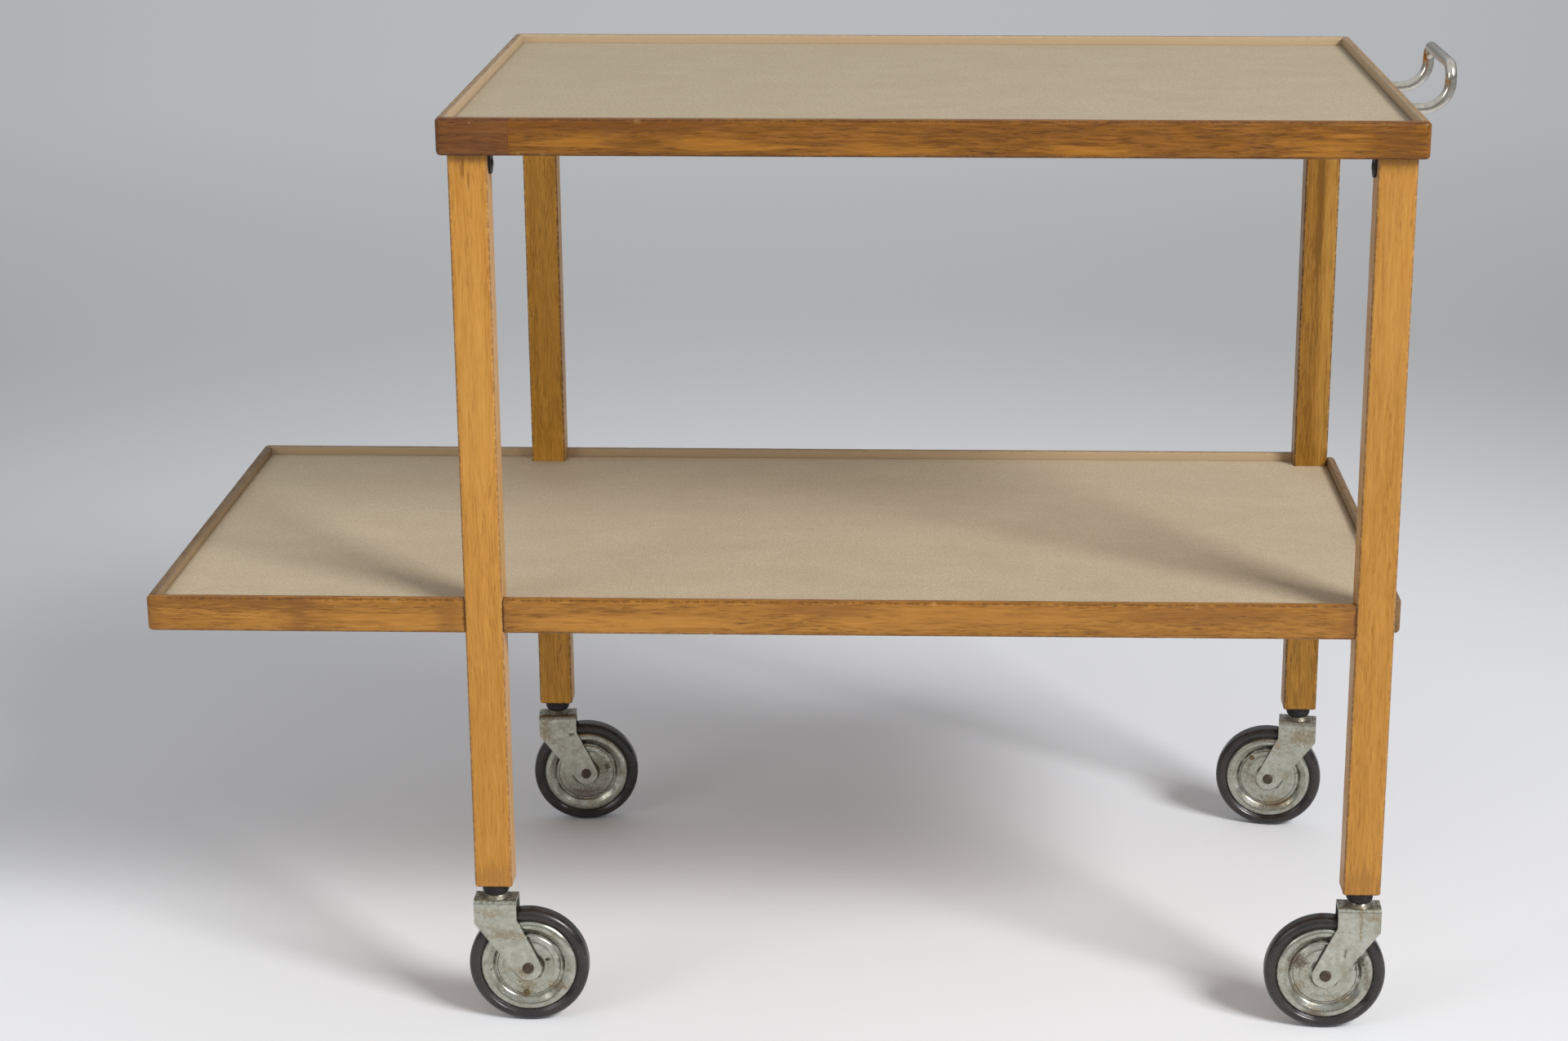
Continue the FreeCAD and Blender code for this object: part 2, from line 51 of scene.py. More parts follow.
corners = ("front_left", "front_right", "back_left", "back_right")
hinges = {joint["child"]: Vector(joint["pos_m"]) for joint in frame["joints"]}


def shade(red, green, blue):
    # a colour as it is read off a screen, 0 to 255, made linear
    def linear(value):
        value /= 255.0
        return value / 12.92 if value <= 0.04045 else ((value + 0.055) / 1.055) ** 2.4
    return (linear(red), linear(green), linear(blue), 1.0)


def metres(*sizes):
    return Vector(sizes) * millimetre


class Wire:
    # one output of a node, reckoned with by the usual signs; wire[name] is another output of that node
    def __init__(self, tree, node, output=0):
        self.tree, self.node = tree, node
        self.socket = node.outputs[output] if len(node.outputs) else None
        self.wide = self.socket is not None and self.socket.type in ("VECTOR", "RGBA")

    def __getitem__(self, output):
        return Wire(self.tree, self.node, output)

    def __add__(self, other):
        return maths("ADD", self, other)

    def __sub__(self, other):
        return maths("SUBTRACT", self, other)

    def __rsub__(self, other):
        return maths("SUBTRACT", other, self)

    def __mul__(self, other):
        return maths("MULTIPLY", self, other)

    def __truediv__(self, other):
        return maths("DIVIDE", self, other)

    def __abs__(self):
        return maths("ABSOLUTE", self)


def feed(socket, value):
    if isinstance(value, Wire):
        value.tree.links.new(value.socket, socket)
    else:
        socket.default_value = value


def put(tree, kind, inputs=None, output=0, **settings):
    node = tree.nodes.new(kind)
    for key, value in settings.items():
        setattr(node, key, value)
    for key, value in (inputs or {}).items():
        feed(node.inputs[key], value)
    return Wire(tree, node, output)


def treeOf(values):
    return next(value.tree for value in values if isinstance(value, Wire))


def maths(operation, *values, **settings):
    # on vectors, where one of the values is one
    wide = any(isinstance(value, (tuple, Vector)) or getattr(value, "wide", False) for value in values)
    kind = "ShaderNodeVectorMath" if wide else "ShaderNodeMath"
    output = "Value" if operation == "LENGTH" else 0
    return put(treeOf(values), kind, dict(enumerate(values)), output, operation=operation, **settings)


def fade(value, start, end, low=0.0, high=1.0):
    # runs smoothly from low, at start, to high, at end
    limits = {"Value": value, "From Min": start, "From Max": end, "To Min": low, "To Max": high}
    return put(value.tree, "ShaderNodeMapRange", limits, "Result", interpolation_type="SMOOTHSTEP")


def mixed(amount, first, second):
    # from the first colour, at 0, to the second, at 1
    inputs = {0: amount, 6: first, 7: second}
    return put(treeOf(inputs.values()), "ShaderNodeMix", inputs, 2, data_type="RGBA")


def cloud(place, stretch, detail=2.0, rough=0.5, output=0):
    # noise whose features are 1 / stretch metres long on each axis
    if isinstance(stretch, (int, float)):
        stretch = (stretch, stretch, stretch)
    inputs = {"Vector": place * stretch, "Scale": 1.0, "Detail": detail, "Roughness": rough}
    return put(place.tree, "ShaderNodeTexNoise", inputs, output)


def spots(place, size, share, reach=0.35):
    # round spots about size across, on a share of the cells of a loose grid
    cell = put(place.tree, "ShaderNodeTexVoronoi", {"Vector": place, "Scale": 1.0 / size}, "Distance")
    chosen = put(place.tree, "ShaderNodeSeparateColor", {"Color": cell["Color"]})
    return fade(cell, reach, reach * 0.45) * maths("LESS_THAN", chosen, share)


def split(vector):
    # its x, y and z
    return put(vector.tree, "ShaderNodeSeparateXYZ", {0: vector})


number, arrow, tint = "NodeSocketFloat", "NodeSocketVector", "NodeSocketColor"
geometry, material = "NodeSocketGeometry", "NodeSocketMaterial"


def newGroup(name, kind, inputs, outputs):
    # inputs are given by their kind, or as the number that they start from
    tree = bpy.data.node_groups.new(name, kind)
    for label, value in inputs.items():
        isKind = isinstance(value, str)
        socket = tree.interface.new_socket(label, in_out="INPUT", socket_type=value if isKind else number)
        if not isKind:
            socket.default_value = value
    for label, socketKind in outputs.items():
        tree.interface.new_socket(label, in_out="OUTPUT", socket_type=socketKind)
    return tree, Wire(tree, tree.nodes.new("NodeGroupInput")), tree.nodes.new("NodeGroupOutput").inputs


def useGroup(group, **values):
    return put(treeOf(values.values()), "ShaderNodeGroup", values, node_tree=group)


def buildGrain():
    # fibres run along x; sizes in metres
    tree, given, out = newGroup("grain", "ShaderNodeTree", {
        "Place": arrow, "Light": tint, "Dark": tint, "Line": tint, "Band": 110.0, "Run": 6.0, "Contrast": 0.2,
        "Streaks": 0.5, "Lines": 0.5, "Wander": 0.006}, {"Colour": tint, "Tone": number, "Height": number})
    drift = cloud(given["Place"], (11, 26, 26), output="Color")
    bent = given["Place"] + (drift - (0.5, 0.5, 0.5)) * (0, 1, 1) * given["Wander"]
    across = put(tree, "ShaderNodeCombineXYZ", {"X": given["Run"], "Y": given["Band"], "Z": given["Band"]})
    fibres = cloud(bent, (42, 620, 620), 4.0, 0.65)
    tone = cloud(bent, across, 4.0, 0.62) * 0.42 + fibres * 0.58
    tone = fade(tone, 0.5 - given["Contrast"], given["Contrast"] + 0.5)
    colour = mixed(tone, given["Light"], given["Dark"])
    streaks = fade(cloud(bent + (2, 5, 1), (60, 720, 720), 3.0, 0.65), 0.48, 0.66)
    colour = mixed(streaks * given["Streaks"], colour, given["Line"])
    clump = fade(cloud(bent, (12, 130, 130)), 0.42, 0.62)
    lines = fade(cloud(bent, (85, 1150, 1150)), 0.55, 0.68) * clump * given["Lines"]
    feed(out["Colour"], mixed(lines, colour, given["Line"]))
    feed(out["Tone"], tone)
    feed(out["Height"], fibres * 0.4 - lines)
    return tree


def buildBoxEdge():
    # how far a point on a box lies from the nearest edge of that box, and how deep it lies on each axis
    tree, given, out = newGroup("boxEdge", "ShaderNodeTree", {
        "Place": arrow, "Middle": arrow, "Half": arrow}, {"Distance": number, "Depth": arrow})
    depth = given["Half"] - abs(given["Place"] - given["Middle"])
    x, y, z = split(depth)
    second = maths("MINIMUM", maths("MAXIMUM", x, y), z)
    feed(out["Distance"], maths("MAXIMUM", maths("MINIMUM", x, y), second))
    feed(out["Depth"], depth)
    return tree


def buildWear():
    # a ragged mask that is full at an edge and gone one width away
    tree, given, out = newGroup("wear", "ShaderNodeTree", {
        "Place": arrow, "Distance": 0.0, "Width": 0.002, "Ragged": 0.5, "Grain": 400.0}, {"Mask": number})
    rough = cloud(given["Place"], given["Grain"], 3.0, 0.65)
    reach = given["Width"] * ((rough - 0.5) * 4.0 * given["Ragged"] + 1.0)
    feed(out["Mask"], fade(given["Distance"] / maths("MAXIMUM", reach, 0.00001), 1.0, 0.25))
    return tree


def buildPatina():
    # mottled zinc: dull patches, stains, pits
    tree, given, out = newGroup("patina", "ShaderNodeTree", {
        "Place": arrow, "Clean": tint, "Dull": tint, "Stain": tint, "Pit": tint, "Stains": 0.5, "Pits": 0.5},
        {"Colour": tint, "Dullness": number, "Height": number})
    place = given["Place"]
    mottle = cloud(place, 260, 4.0, 0.6)
    dull = fade(mottle * 0.5 + cloud(place, 85, 3.0, 0.6) * 0.5, 0.3, 0.7)
    colour = mixed(dull, given["Clean"], given["Dull"])
    stain = fade(cloud(place + (3, 1, 2), 95, 4.0, 0.6), 0.5, 0.78) * given["Stains"]
    colour = mixed(stain, colour, given["Stain"])
    ragged = place + cloud(place, 900, output="Color") * (0.0011, 0.0011, 0.0011)
    pit = maths("MAXIMUM", spots(ragged, 0.0024, 0.22, 0.32), spots(place, 0.0012, 0.3) * 0.6)
    pit = pit * fade(cloud(place + (7, 5, 1), 70), 0.45, 0.6) * given["Pits"]
    feed(out["Colour"], mixed(pit, colour, given["Pit"]))
    feed(out["Dullness"], maths("MAXIMUM", dull * 0.6, maths("MAXIMUM", pit, stain)))
    feed(out["Height"], (mottle - pit) * 0.3)
    return tree


def buildPatch():
    # a ragged oval that is full at its middle
    tree, given, out = newGroup("patch", "ShaderNodeTree", {
        "Place": arrow, "Middle": arrow, "Reach": arrow, "Grain": arrow, "Ragged": 0.5}, {"Mask": number})
    off = maths("LENGTH", (given["Place"] - given["Middle"]) / given["Reach"])
    swing = (cloud(given["Place"], given["Grain"], 3.0, 0.6) - 0.5) * 4.0 * given["Ragged"]
    feed(out["Mask"], fade(off + swing, 1.3, 0.3))
    return tree


grainGroup, boxEdgeGroup, wearGroup = buildGrain(), buildBoxEdge(), buildWear()
patinaGroup, patchGroup = buildPatina(), buildPatch()
print("shader groups built")


def faceOut(mesh, merge=0.0):
    # makes points that lie closer than merge one and turns all faces outwards
    shell = bmesh.new()
    shell.from_mesh(mesh)
    if merge:
        bmesh.ops.remove_doubles(shell, verts=shell.verts, dist=merge)
    bmesh.ops.recalc_face_normals(shell, faces=shell.faces)
    shell.to_mesh(mesh)
    shell.free()


def newMesh(name, points, faces):
    mesh = bpy.data.meshes.new(name)
    mesh.from_pydata(points, [], faces)
    faceOut(mesh)
    return mesh


def newObject(name, data):
    item = bpy.data.objects.new(name, data)
    bpy.context.scene.collection.objects.link(item)
    return item


def softened(mesh, angle=35.0):
    mesh.shade_smooth()
    mesh.set_sharp_from_angle(angle=math.radians(angle))
    return mesh


def addPiece(name, mesh, body, *nodes):
    piece = newObject(name, mesh)
    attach(piece, body)
    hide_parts(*nodes)
    return piece


def inset(distance, radius):
    # how far a rounded edge stands back at a distance from its end
    if distance >= radius:
        return 0.0
    return radius - math.sqrt(max(0.0, radius ** 2 - (radius - distance) ** 2))


def arc(start, middle, end, steps):
    # points of a circle through three points of a plane
    (ax, ay), (bx, by), (cx, cy) = start, middle, end
    twice = 2 * (ax * (by - cy) + bx * (cy - ay) + cx * (ay - by))
    a, b, c = ax ** 2 + ay ** 2, bx ** 2 + by ** 2, cx ** 2 + cy ** 2
    x = (a * (by - cy) + b * (cy - ay) + c * (ay - by)) / twice
    y = (a * (cx - bx) + b * (ax - cx) + c * (bx - ax)) / twice
    first, last = math.atan2(ay - y, ax - x), math.atan2(cy - y, cx - x)
    sweep = (last - first + math.pi) % math.tau - math.pi
    radius = math.hypot(ax - x, ay - y)
    angles = [first + sweep * step / steps for step in range(steps + 1)]
    return [(x + radius * math.cos(angle), y + radius * math.sin(angle)) for angle in angles]


# rounded, worn timber in millimetres: radii of its long edges, spacing of its sections, wear and nicks
timber = {"outer": 3.0, "inner": 1.2, "leg": 1.8, "eased": 0.3, "plan": 5.0, "spacing": 2.2, "arcSteps": 4,
          "faceSteps": 4, "endSteps": 6, "wear": 0.12, "nickDepth": (0.2, 0.55), "nickLength": (1.2, 3.6),
          "nicksPerMetre": 6, "nickMargin": 6, "seam": 0.15, "rubbed": 0.7,
          "waves": ((0.09, 7.3, 0, 1.0), (0.5, 3.1, 40, 0.5))}

# each piece: its length's axis, where its outer face looks, its two ends, its look and where in the wood
# its grain is taken from
timbers = {
    "top_rail_front_long": ("x", "-y", "seam", "corner", "trayRail", 3.1),
    "top_rail_front_short": ("x", "-y", "corner", "seam", "darkRail", 7.7),
    "top_rail_back": ("x", "+y", "corner", "corner", "endRail", 5.3),
    "top_rail_left": ("y", "-x", "butt", "butt", "endRail", 1.9),
    "top_rail_right": ("y", "+x", "butt", "butt", "endRail", 2.6),
    "shelf_rail_front_left": ("x", "-y", "corner", "butt", "shelfRail", 8.3),
    "shelf_rail_front_mid": ("x", "-y", "butt", "butt", "shelfRail", 9.4),
    "shelf_rail_back_left": ("x", "+y", "corner", "butt", "endRail", 4.4),
    "shelf_rail_back_mid": ("x", "+y", "butt", "butt", "endRail", 6.2),
    "shelf_rail_left": ("y", "-x", "butt", "butt", "shelfEnd", 3.8),
    "shelf_rail_right": ("y", "+x", "corner", "corner", "shelfEnd", 5.8),
    "leg_front_left": ("z", "-y", "foot", "butt", "leg", 1.2),
    "leg_front_right": ("z", "-y", "foot", "butt", "legRight", 2.9),
    "leg_back_left": ("z", "+y", "foot", "butt", "legShaded", 4.1),
    "leg_back_right": ("z", "+y", "foot", "butt", "legOlive", 6.6),
}


def endRadii(kind):
    # radius in plan at the outer side, and radius of the end's own edges
    if kind == "corner":
        return timber["plan"], timber["outer"]
    radius = {"foot": timber["leg"], "butt": timber["eased"], "seam": timber["seam"]}[kind]
    return radius, radius


def stations(length, ends):
    # places along a timber: close together round its ends, evenly spaced between
    near, far = (max(endRadii(kind)) for kind in ends)
    steps = timber["endSteps"]
    first = [near * (1 - math.cos(math.pi / 2 * k / steps)) for k in range(steps)]
    last = [length - far * (1 - math.cos(math.pi / 2 * k / steps)) for k in range(steps)]
    count = max(2, round((length - near - far) / timber["spacing"]))
    middle = [near + (length - near - far) * k / count for k in range(count + 1)]
    return first + middle + last[::-1]


def section(limits, radii):
    # a rounded rectangle: its points, each with its edge's number and its share of that rounding
    (vLow, vHigh), (wLow, wHigh) = limits
    most = 0.45 * min(vHigh - vLow, wHigh - wLow)
    steps, parts = timber["arcSteps"], timber["faceSteps"]
    rounds = []
    for quarter, (v, w, sideV, sideW) in enumerate(
            ((vHigh, wHigh, 1, 1), (vLow, wHigh, -1, 1), (vLow, wLow, -1, -1), (vHigh, wLow, 1, -1))):
        radius = min(radii[quarter], most)
        middleV, middleW = v - sideV * radius, w - sideW * radius
        angles = [math.pi / 2 * (quarter + step / steps) for step in range(steps + 1)]
        rounds.append([(middleV + radius * math.cos(angle), middleW + radius * math.sin(angle))
                       for angle in angles])
    points, marks = [], []
    for quarter, bend in enumerate(rounds):
        points += bend
        marks += [(quarter, math.sin(math.pi * (step + 0.5) / (steps + 1))) for step in range(steps + 1)]
        before, after = bend[-1], rounds[(quarter + 1) % 4][0]
        for part in [0.05] + [step / parts for step in range(1, parts)] + [0.95]:
            points.append(tuple(a + (b - a) * part for a, b in zip(before, after)))
            marks.append((quarter, 0.0))
    return points, marks


def buildTimber(node, seed):
    axis, outer, *ends = timbers[node][:4]
    low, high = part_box(node)
    isLeg = axis == "z"
    lengthwise, across, up = "xyz".index(axis), "xyz".index(outer[1]), 0 if isLeg else 2
    length, thickness, height = ((high - low)[way] / millimetre for way in (lengthwise, across, up))
    sign = 1 if outer[0] == "+" else -1
    radii = [timber[edge] for edge in (["leg"] * 4 if isLeg else ["outer", "inner", "eased", "outer"])]
    chance = random.Random(seed)
    margin, count = timber["nickMargin"], round(length / 1000 * timber["nicksPerMetre"])
    nicks = [(chance.uniform(margin, length - margin), chance.randrange(4),
              chance.uniform(*timber["nickLength"]), chance.uniform(*timber["nickDepth"]))
             for _ in range(count)]
    points, worn = [], []
    for place in stations(length, ends):
        outerGap, endGap = (max(inset(distance, endRadii(kind)[which])
                                for kind, distance in zip(ends, (place, length - place))) for which in (0, 1))
        nearGap = endGap if isLeg else 0.0
        ring, marks = section(((nearGap, thickness - outerGap), (endGap, height - endGap)), radii)
        for (v, w), (quarter, share) in zip(ring, marks):
            rough = sum(strength * noise.noise(Vector((place * grain, quarter * apart, seed + shift)))
                        for grain, apart, shift, strength in timber["waves"])
            nick = 0.0
            for spot, edge, reach, deep in nicks:
                if edge == quarter and abs(place - spot) < reach:
                    nick = max(nick, share * (1 - ((place - spot) / reach) ** 2) * deep)
            depth = nick + timber["wear"] * share * max(0.0, rough + 0.3)
            v += math.copysign(timber["rubbed"] * depth, thickness / 2 - v)
            w += math.copysign(timber["rubbed"] * depth, height / 2 - w)
            point = low.copy()
            point[lengthwise] += place * millimetre
            point[across] = (low if sign > 0 else high)[across] + sign * v * millimetre
            point[up] += w * millimetre
            points.append(point)
            worn.append(min(1.0, nick / timber["nickDepth"][1] * 1.6))
    size = len(ring)
    rows = len(points) // size
    faces = [(row + k, row + (k + 1) % size, row + size + (k + 1) % size, row + size + k)
             for row in range(0, (rows - 1) * size, size) for k in range(size)]
    faces += [tuple(range(size)), tuple(range((rows - 1) * size, rows * size))]
    mesh = softened(newMesh(node + "_timber", points, faces), 40.0)
    mesh.attributes.new("nick", "FLOAT", "POINT").data.foreach_set("value", worn)
    return addPiece(node + "_timber", mesh, "trolley", node)


shaped = {node: buildTimber(node, seed + 1) for seed, node in enumerate(timbers)}
print("timber shaped:", sum(len(piece.data.polygons) for piece in shaped.values()), "faces")

# the handle's rod: diameter, its bends and its straight stretch, in millimetres
handleRod = {"diameter": 8.8, "bend": 21.0, "corner": 11.0, "arcSteps": 10}


def buildHandle():
    low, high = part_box("handle")
    radius = handleRod["diameter"] / 2 * millimetre
    bend, corner = handleRod["bend"] * millimetre, handleRod["corner"] * millimetre
    start, far, side = low.x, high.x - radius, high.y - radius
    armZ, gripZ = low.z + radius, high.z - radius
    turns = [math.pi / 2 * step / handleRod["arcSteps"] for step in range(handleRod["arcSteps"] + 1)]
    half = [(start, side, armZ)]
    half += [(far - bend + bend * math.sin(turn), side, armZ + bend - bend * math.cos(turn))
             for turn in turns]
    half += [(far, side - corner + corner * math.cos(turn), gripZ - corner + corner * math.sin(turn))
             for turn in turns]
    route = half + [(x, -y, z) for x, y, z in reversed(half)]
    curve = bpy.data.curves.new("handle_route", "CURVE")
    curve.dimensions = "3D"
    spline = curve.splines.new("POLY")
    spline.points.add(len(route) - 1)
    for point, (x, y, z) in zip(spline.points, route):
        point.co = (x, y, z, 1.0)
    curve.bevel_depth = radius
    curve.bevel_resolution = 6
    curve.use_fill_caps = True
    carrier = bpy.data.objects.new("handle_route", curve)
    mesh = bpy.data.meshes.new_from_object(carrier)
    bpy.data.objects.remove(carrier)
    faceOut(mesh, 0.00001)
    return addPiece("handle_rod", softened(mesh, 50.0), "trolley", "handle")


shaped["handle"] = buildHandle()


def wheelPlace(corner):
    # the wheel's own frame: its axle along y, the caster's trail along x
    hub, swivel = hinges["wheel_" + corner], hinges["swivel_" + corner]
    trail = hub - swivel
    return Matrix.Translation(hub) @ Matrix.Rotation(math.atan2(trail.y, trail.x), 4, "Z")


rippleGrain = 0.09


def lathed(name, outline, steps, place, ripple, seed):
    # a closed outline of (radius, width) in millimetres, turned about the axle
    points, faces = [], []
    size = len(outline)
    for step in range(steps):
        angle = math.tau * step / steps
        for radius, width in outline:
            x, z = radius * math.cos(angle), radius * math.sin(angle)
            dent = ripple * noise.noise(Vector((x * rippleGrain, z * rippleGrain, seed)))
            points.append(place @ metres(x, width + dent, z))
    for step in range(steps):
        here, there = step * size, (step + 1) % steps * size
        faces += [(here + k, here + (k + 1) % size, there + (k + 1) % size, there + k) for k in range(size)]
    return softened(newMesh(name, points, faces), 32.0)


# the pressed discs: radii and heights over the wheel's middle plane, in millimetres
pressing = {"bore": 5.0, "crown": 6.4, "dish": 5.0, "crownEdge": 20.0, "step": 0.35, "dishEdge": 23.9,
            "grooveFloor": 3.8, "beadInner": 27.8, "slope": (31.0, 6.9), "crest": 7.3, "rim": 37.0,
            "rimHeight": 5.3, "sheet": 1.2, "steps": 120, "ripple": 0.22}


def discOutline():
    size = pressing
    dish, edge = size["dish"], size["crownEdge"]
    swell = (size["crown"] + dish) / 2 + 0.25
    outer = arc((size["bore"], size["crown"]), ((size["bore"] + edge) / 2, swell),
                (edge - 0.8, dish + size["step"]), 10)
    outer += [(edge - 0.2, dish + size["step"] * 0.7), (edge + 0.3, dish), (size["dishEdge"] - 0.8, dish)]
    floor = ((size["dishEdge"] + size["beadInner"]) / 2, size["grooveFloor"])
    outer += arc((size["dishEdge"], dish - 0.12), floor, (size["beadInner"] - 0.2, dish - 0.12), 8)
    inner, top = size["beadInner"], size["slope"]
    outer += [(inner + (top[0] - inner) * part, dish + (top[1] - dish) * part)
              for part in (0.0, 0.15, 0.5, 0.85)]
    outer += arc(top, ((top[0] + size["rim"]) / 2, size["crest"]), (size["rim"], size["rimHeight"]), 13)
    back = [(radius, height - size["sheet"]) for radius, height in outer[::3]]
    back.append((size["rim"], size["rimHeight"] - size["sheet"]))
    return outer + back[::-1]


# the solid tyre: radii and half widths in millimetres
rubber = {"web": 32.0, "webHalf": 3.2, "seat": 37.1, "sideHalf": 5.8, "swell": 41.5, "half": 7.25,
          "shoulder": 4.5, "tread": 46.0, "ridge": 39.9, "ridgeRise": 0.28, "steps": 144, "ripple": 0.1}


def tyreOutline():
    size = rubber
    treadHalf = size["half"] - size["shoulder"]
    slope = (size["half"] - size["sideHalf"]) / (size["swell"] - size["seat"])
    ridgeHalf = size["sideHalf"] + slope * (size["ridge"] - size["seat"])
    slant = size["shoulder"] * math.sqrt(0.5)
    top = ridgeHalf + size["ridgeRise"]
    wall = [(size["web"], size["webHalf"]), (size["seat"], size["webHalf"]),
            (size["seat"], size["sideHalf"] - 0.5), (size["seat"] + 0.5, size["sideHalf"]),
            (size["ridge"] - 0.9, ridgeHalf - slope * 0.9), (size["ridge"] - 0.3, top),
            (size["ridge"] + 0.5, top)]
    wall += arc((size["swell"], size["half"]), (size["swell"] + slant, treadHalf + slant),
                (size["tread"], treadHalf), 10)
    wall.append((size["tread"] + 0.02, treadHalf * 0.5))
    return wall + [(radius, -half) for radius, half in reversed(wall)]


def buildWheel(corner, seed):
    for start, ending, side, outline, size, shift in (
            ("disc_outer_", "_pressing", -1, discOutline(), pressing, -1),
            ("disc_inner_", "_pressing", 1, discOutline(), pressing, 1),
            ("tyre_", "_rubber", 1, tyreOutline(), rubber, 5)):
        node = start + corner
        outline = [(radius, side * height) for radius, height in outline]
        mesh = lathed(node + ending, outline, size["steps"], wheelPlace(corner), size["ripple"], seed + shift)
        shaped[node] = addPiece(node + ending, mesh, "wheel_" + corner, node)


for index, corner in enumerate(corners):
    buildWheel(corner, 10.0 * index)
print("handle, discs and tyres shaped")


def upward(height):
    return put(height.tree, "ShaderNodeCombineXYZ", {"Z": height})


def placed(shape, **moves):
    return put(shape.tree, "GeometryNodeTransform", {"Geometry": shape, **moves})


def domeNodes(tree, given, sides):
    # a round head on the plane z = 0: a disc of rings whose middle is raised, with a dimple in it
    rim = given["Head Height"] * 0.3
    disc = put(tree, "GeometryNodeMeshCylinder", {
        "Vertices": sides, "Side Segments": 1, "Fill Segments": 9, "Radius": given["Head Radius"],
        "Depth": rim})
    place = put(tree, "GeometryNodeInputPosition")
    flat = maths("LENGTH", place * (1, 1, 0))
    curve = maths("POWER", flat / given["Head Radius"], 2.4)
    rise = maths("SQRT", maths("SUBTRACT", 1.0, curve, use_clamp=True)) * (given["Head Height"] - rim)
    sink = put(tree, "ShaderNodeMapRange", {
        "Value": flat, "From Min": given["Dimple Radius"], "From Max": given["Dimple Radius"] * 0.55,
        "To Min": 0.0, "To Max": given["Dimple Depth"]}, "Result")
    above = put(tree, "FunctionNodeCompare", {0: split(place)[2], 1: 0.0}, operation="GREATER_THAN")
    raised = put(tree, "GeometryNodeSetPosition", {
        "Geometry": disc, "Offset": upward(rise - sink), "Selection": above})
    return raised, rim


def setOnPoints(tree, given, out, *parts):
    # joins the parts, sets them on each point and turns them to the point's facing
    whole = put(tree, "GeometryNodeJoinGeometry")
    for part in parts:
        feed(whole.node.inputs[0], part)
    facing = put(tree, "GeometryNodeInputNamedAttribute", {"Name": "facing"}, data_type="FLOAT_VECTOR")
    turn = put(tree, "FunctionNodeAlignRotationToVector", {"Vector": facing}, axis="Z")
    copies = put(tree, "GeometryNodeInstanceOnPoints", {
        "Points": given["Geometry"], "Instance": whole, "Rotation": turn})
    real = put(tree, "GeometryNodeRealizeInstances", {"Geometry": copies})
    dressed = put(tree, "GeometryNodeSetMaterial", {"Geometry": real, "Material": given["Finish"]})
    feed(out["Geometry"], dressed)
    return tree


def buildPinTree():
    # a pin with a peened head at each end
    tree, given, out = newGroup("headedPins", "GeometryNodeTree", {
        "Geometry": geometry, "Pin Radius": 0.0014, "Half Length": 0.005, "Head Radius": 0.0024,
        "Head Height": 0.001, "Dimple Radius": 0.001, "Dimple Depth": 0.0003, "Finish": material},
        {"Geometry": geometry})
    head, rim = domeNodes(tree, given, 28)
    upper = placed(head, Translation=upward(given["Half Length"] + rim * 0.5))
    pin = put(tree, "GeometryNodeMeshCylinder", {
        "Vertices": 20, "Radius": given["Pin Radius"], "Depth": given["Half Length"] * 2.0})
    return setOnPoints(tree, given, out, upper, placed(upper, Rotation=(math.pi, 0, 0)), pin)


def buildScrewTree():
    # a slotted round-head screw, its head's seat on the point and its shank behind it
    tree, given, out = newGroup("slottedScrews", "GeometryNodeTree", {
        "Geometry": geometry, "Head Radius": 0.0036, "Head Height": 0.002, "Dimple Radius": 0.001,
        "Dimple Depth": 0.0, "Slot Width": 0.0009, "Slot Depth": 0.0009, "Slot Turn": 0.4,
        "Shank Radius": 0.0017, "Shank Length": 0.008, "Finish": material}, {"Geometry": geometry})
    head, rim = domeNodes(tree, given, 32)
    cutter = put(tree, "GeometryNodeMeshCube", {"Size": put(tree, "ShaderNodeCombineXYZ", {
        "X": given["Head Radius"] * 3.0, "Y": given["Slot Width"], "Z": given["Slot Depth"] * 2.0})})
    cutter = placed(cutter, Translation=upward(given["Head Height"]), Rotation=upward(given["Slot Turn"]))
    head = placed(head, Translation=upward(rim * 0.5))
    slotted = put(tree, "GeometryNodeMeshBoolean", {"Mesh 1": head, "Mesh 2": cutter}, operation="DIFFERENCE")
    shank = put(tree, "GeometryNodeMeshCylinder", {
        "Vertices": 16, "Radius": given["Shank Radius"], "Depth": given["Shank Length"]})
    shank = placed(shank, Translation=upward(given["Shank Length"] * -0.499))
    return setOnPoints(tree, given, out, slotted, shank)


pinTree, screwTree = buildPinTree(), buildScrewTree()


def setOut(name, tree, seats, sizes, body, *nodes):
    # runs a tree on seats of (place, facing) and keeps the result as a plain mesh on one body
    seatMesh = bpy.data.meshes.new(name + "_seats")
    seatMesh.from_pydata([place for place, _ in seats], [], [])
    ways = [value for _, facing in seats for value in facing]
    seatMesh.attributes.new("facing", "FLOAT_VECTOR", "POINT").data.foreach_set("vector", ways)
    carrier = newObject(name + "_seats", seatMesh)
    modifier = carrier.modifiers.new("set out", "NODES")
    modifier.node_group = tree
    for item in tree.interface.items_tree:
        if item.in_out == "INPUT" and item.name in sizes:
            modifier[item.identifier] = sizes[item.name]
    ready = carrier.evaluated_get(bpy.context.evaluated_depsgraph_get())
    mesh = bpy.data.meshes.new_from_object(ready)
    mesh.name = name
    carrier.modifiers.remove(modifier)
    bpy.data.objects.remove(carrier)
    return addPiece(name, softened(mesh, 40.0), body, *nodes)


def newFinish(name):
    finish = bpy.data.materials.new(name)
    finish.use_nodes = True
    tree = finish.node_tree
    tree.nodes.clear()
    skin = put(tree, "ShaderNodeBsdfPrincipled")
    put(tree, "ShaderNodeOutputMaterial", {"Surface": skin})
    return finish, skin.node.inputs, put(tree, "ShaderNodeTexCoord", output="Object")


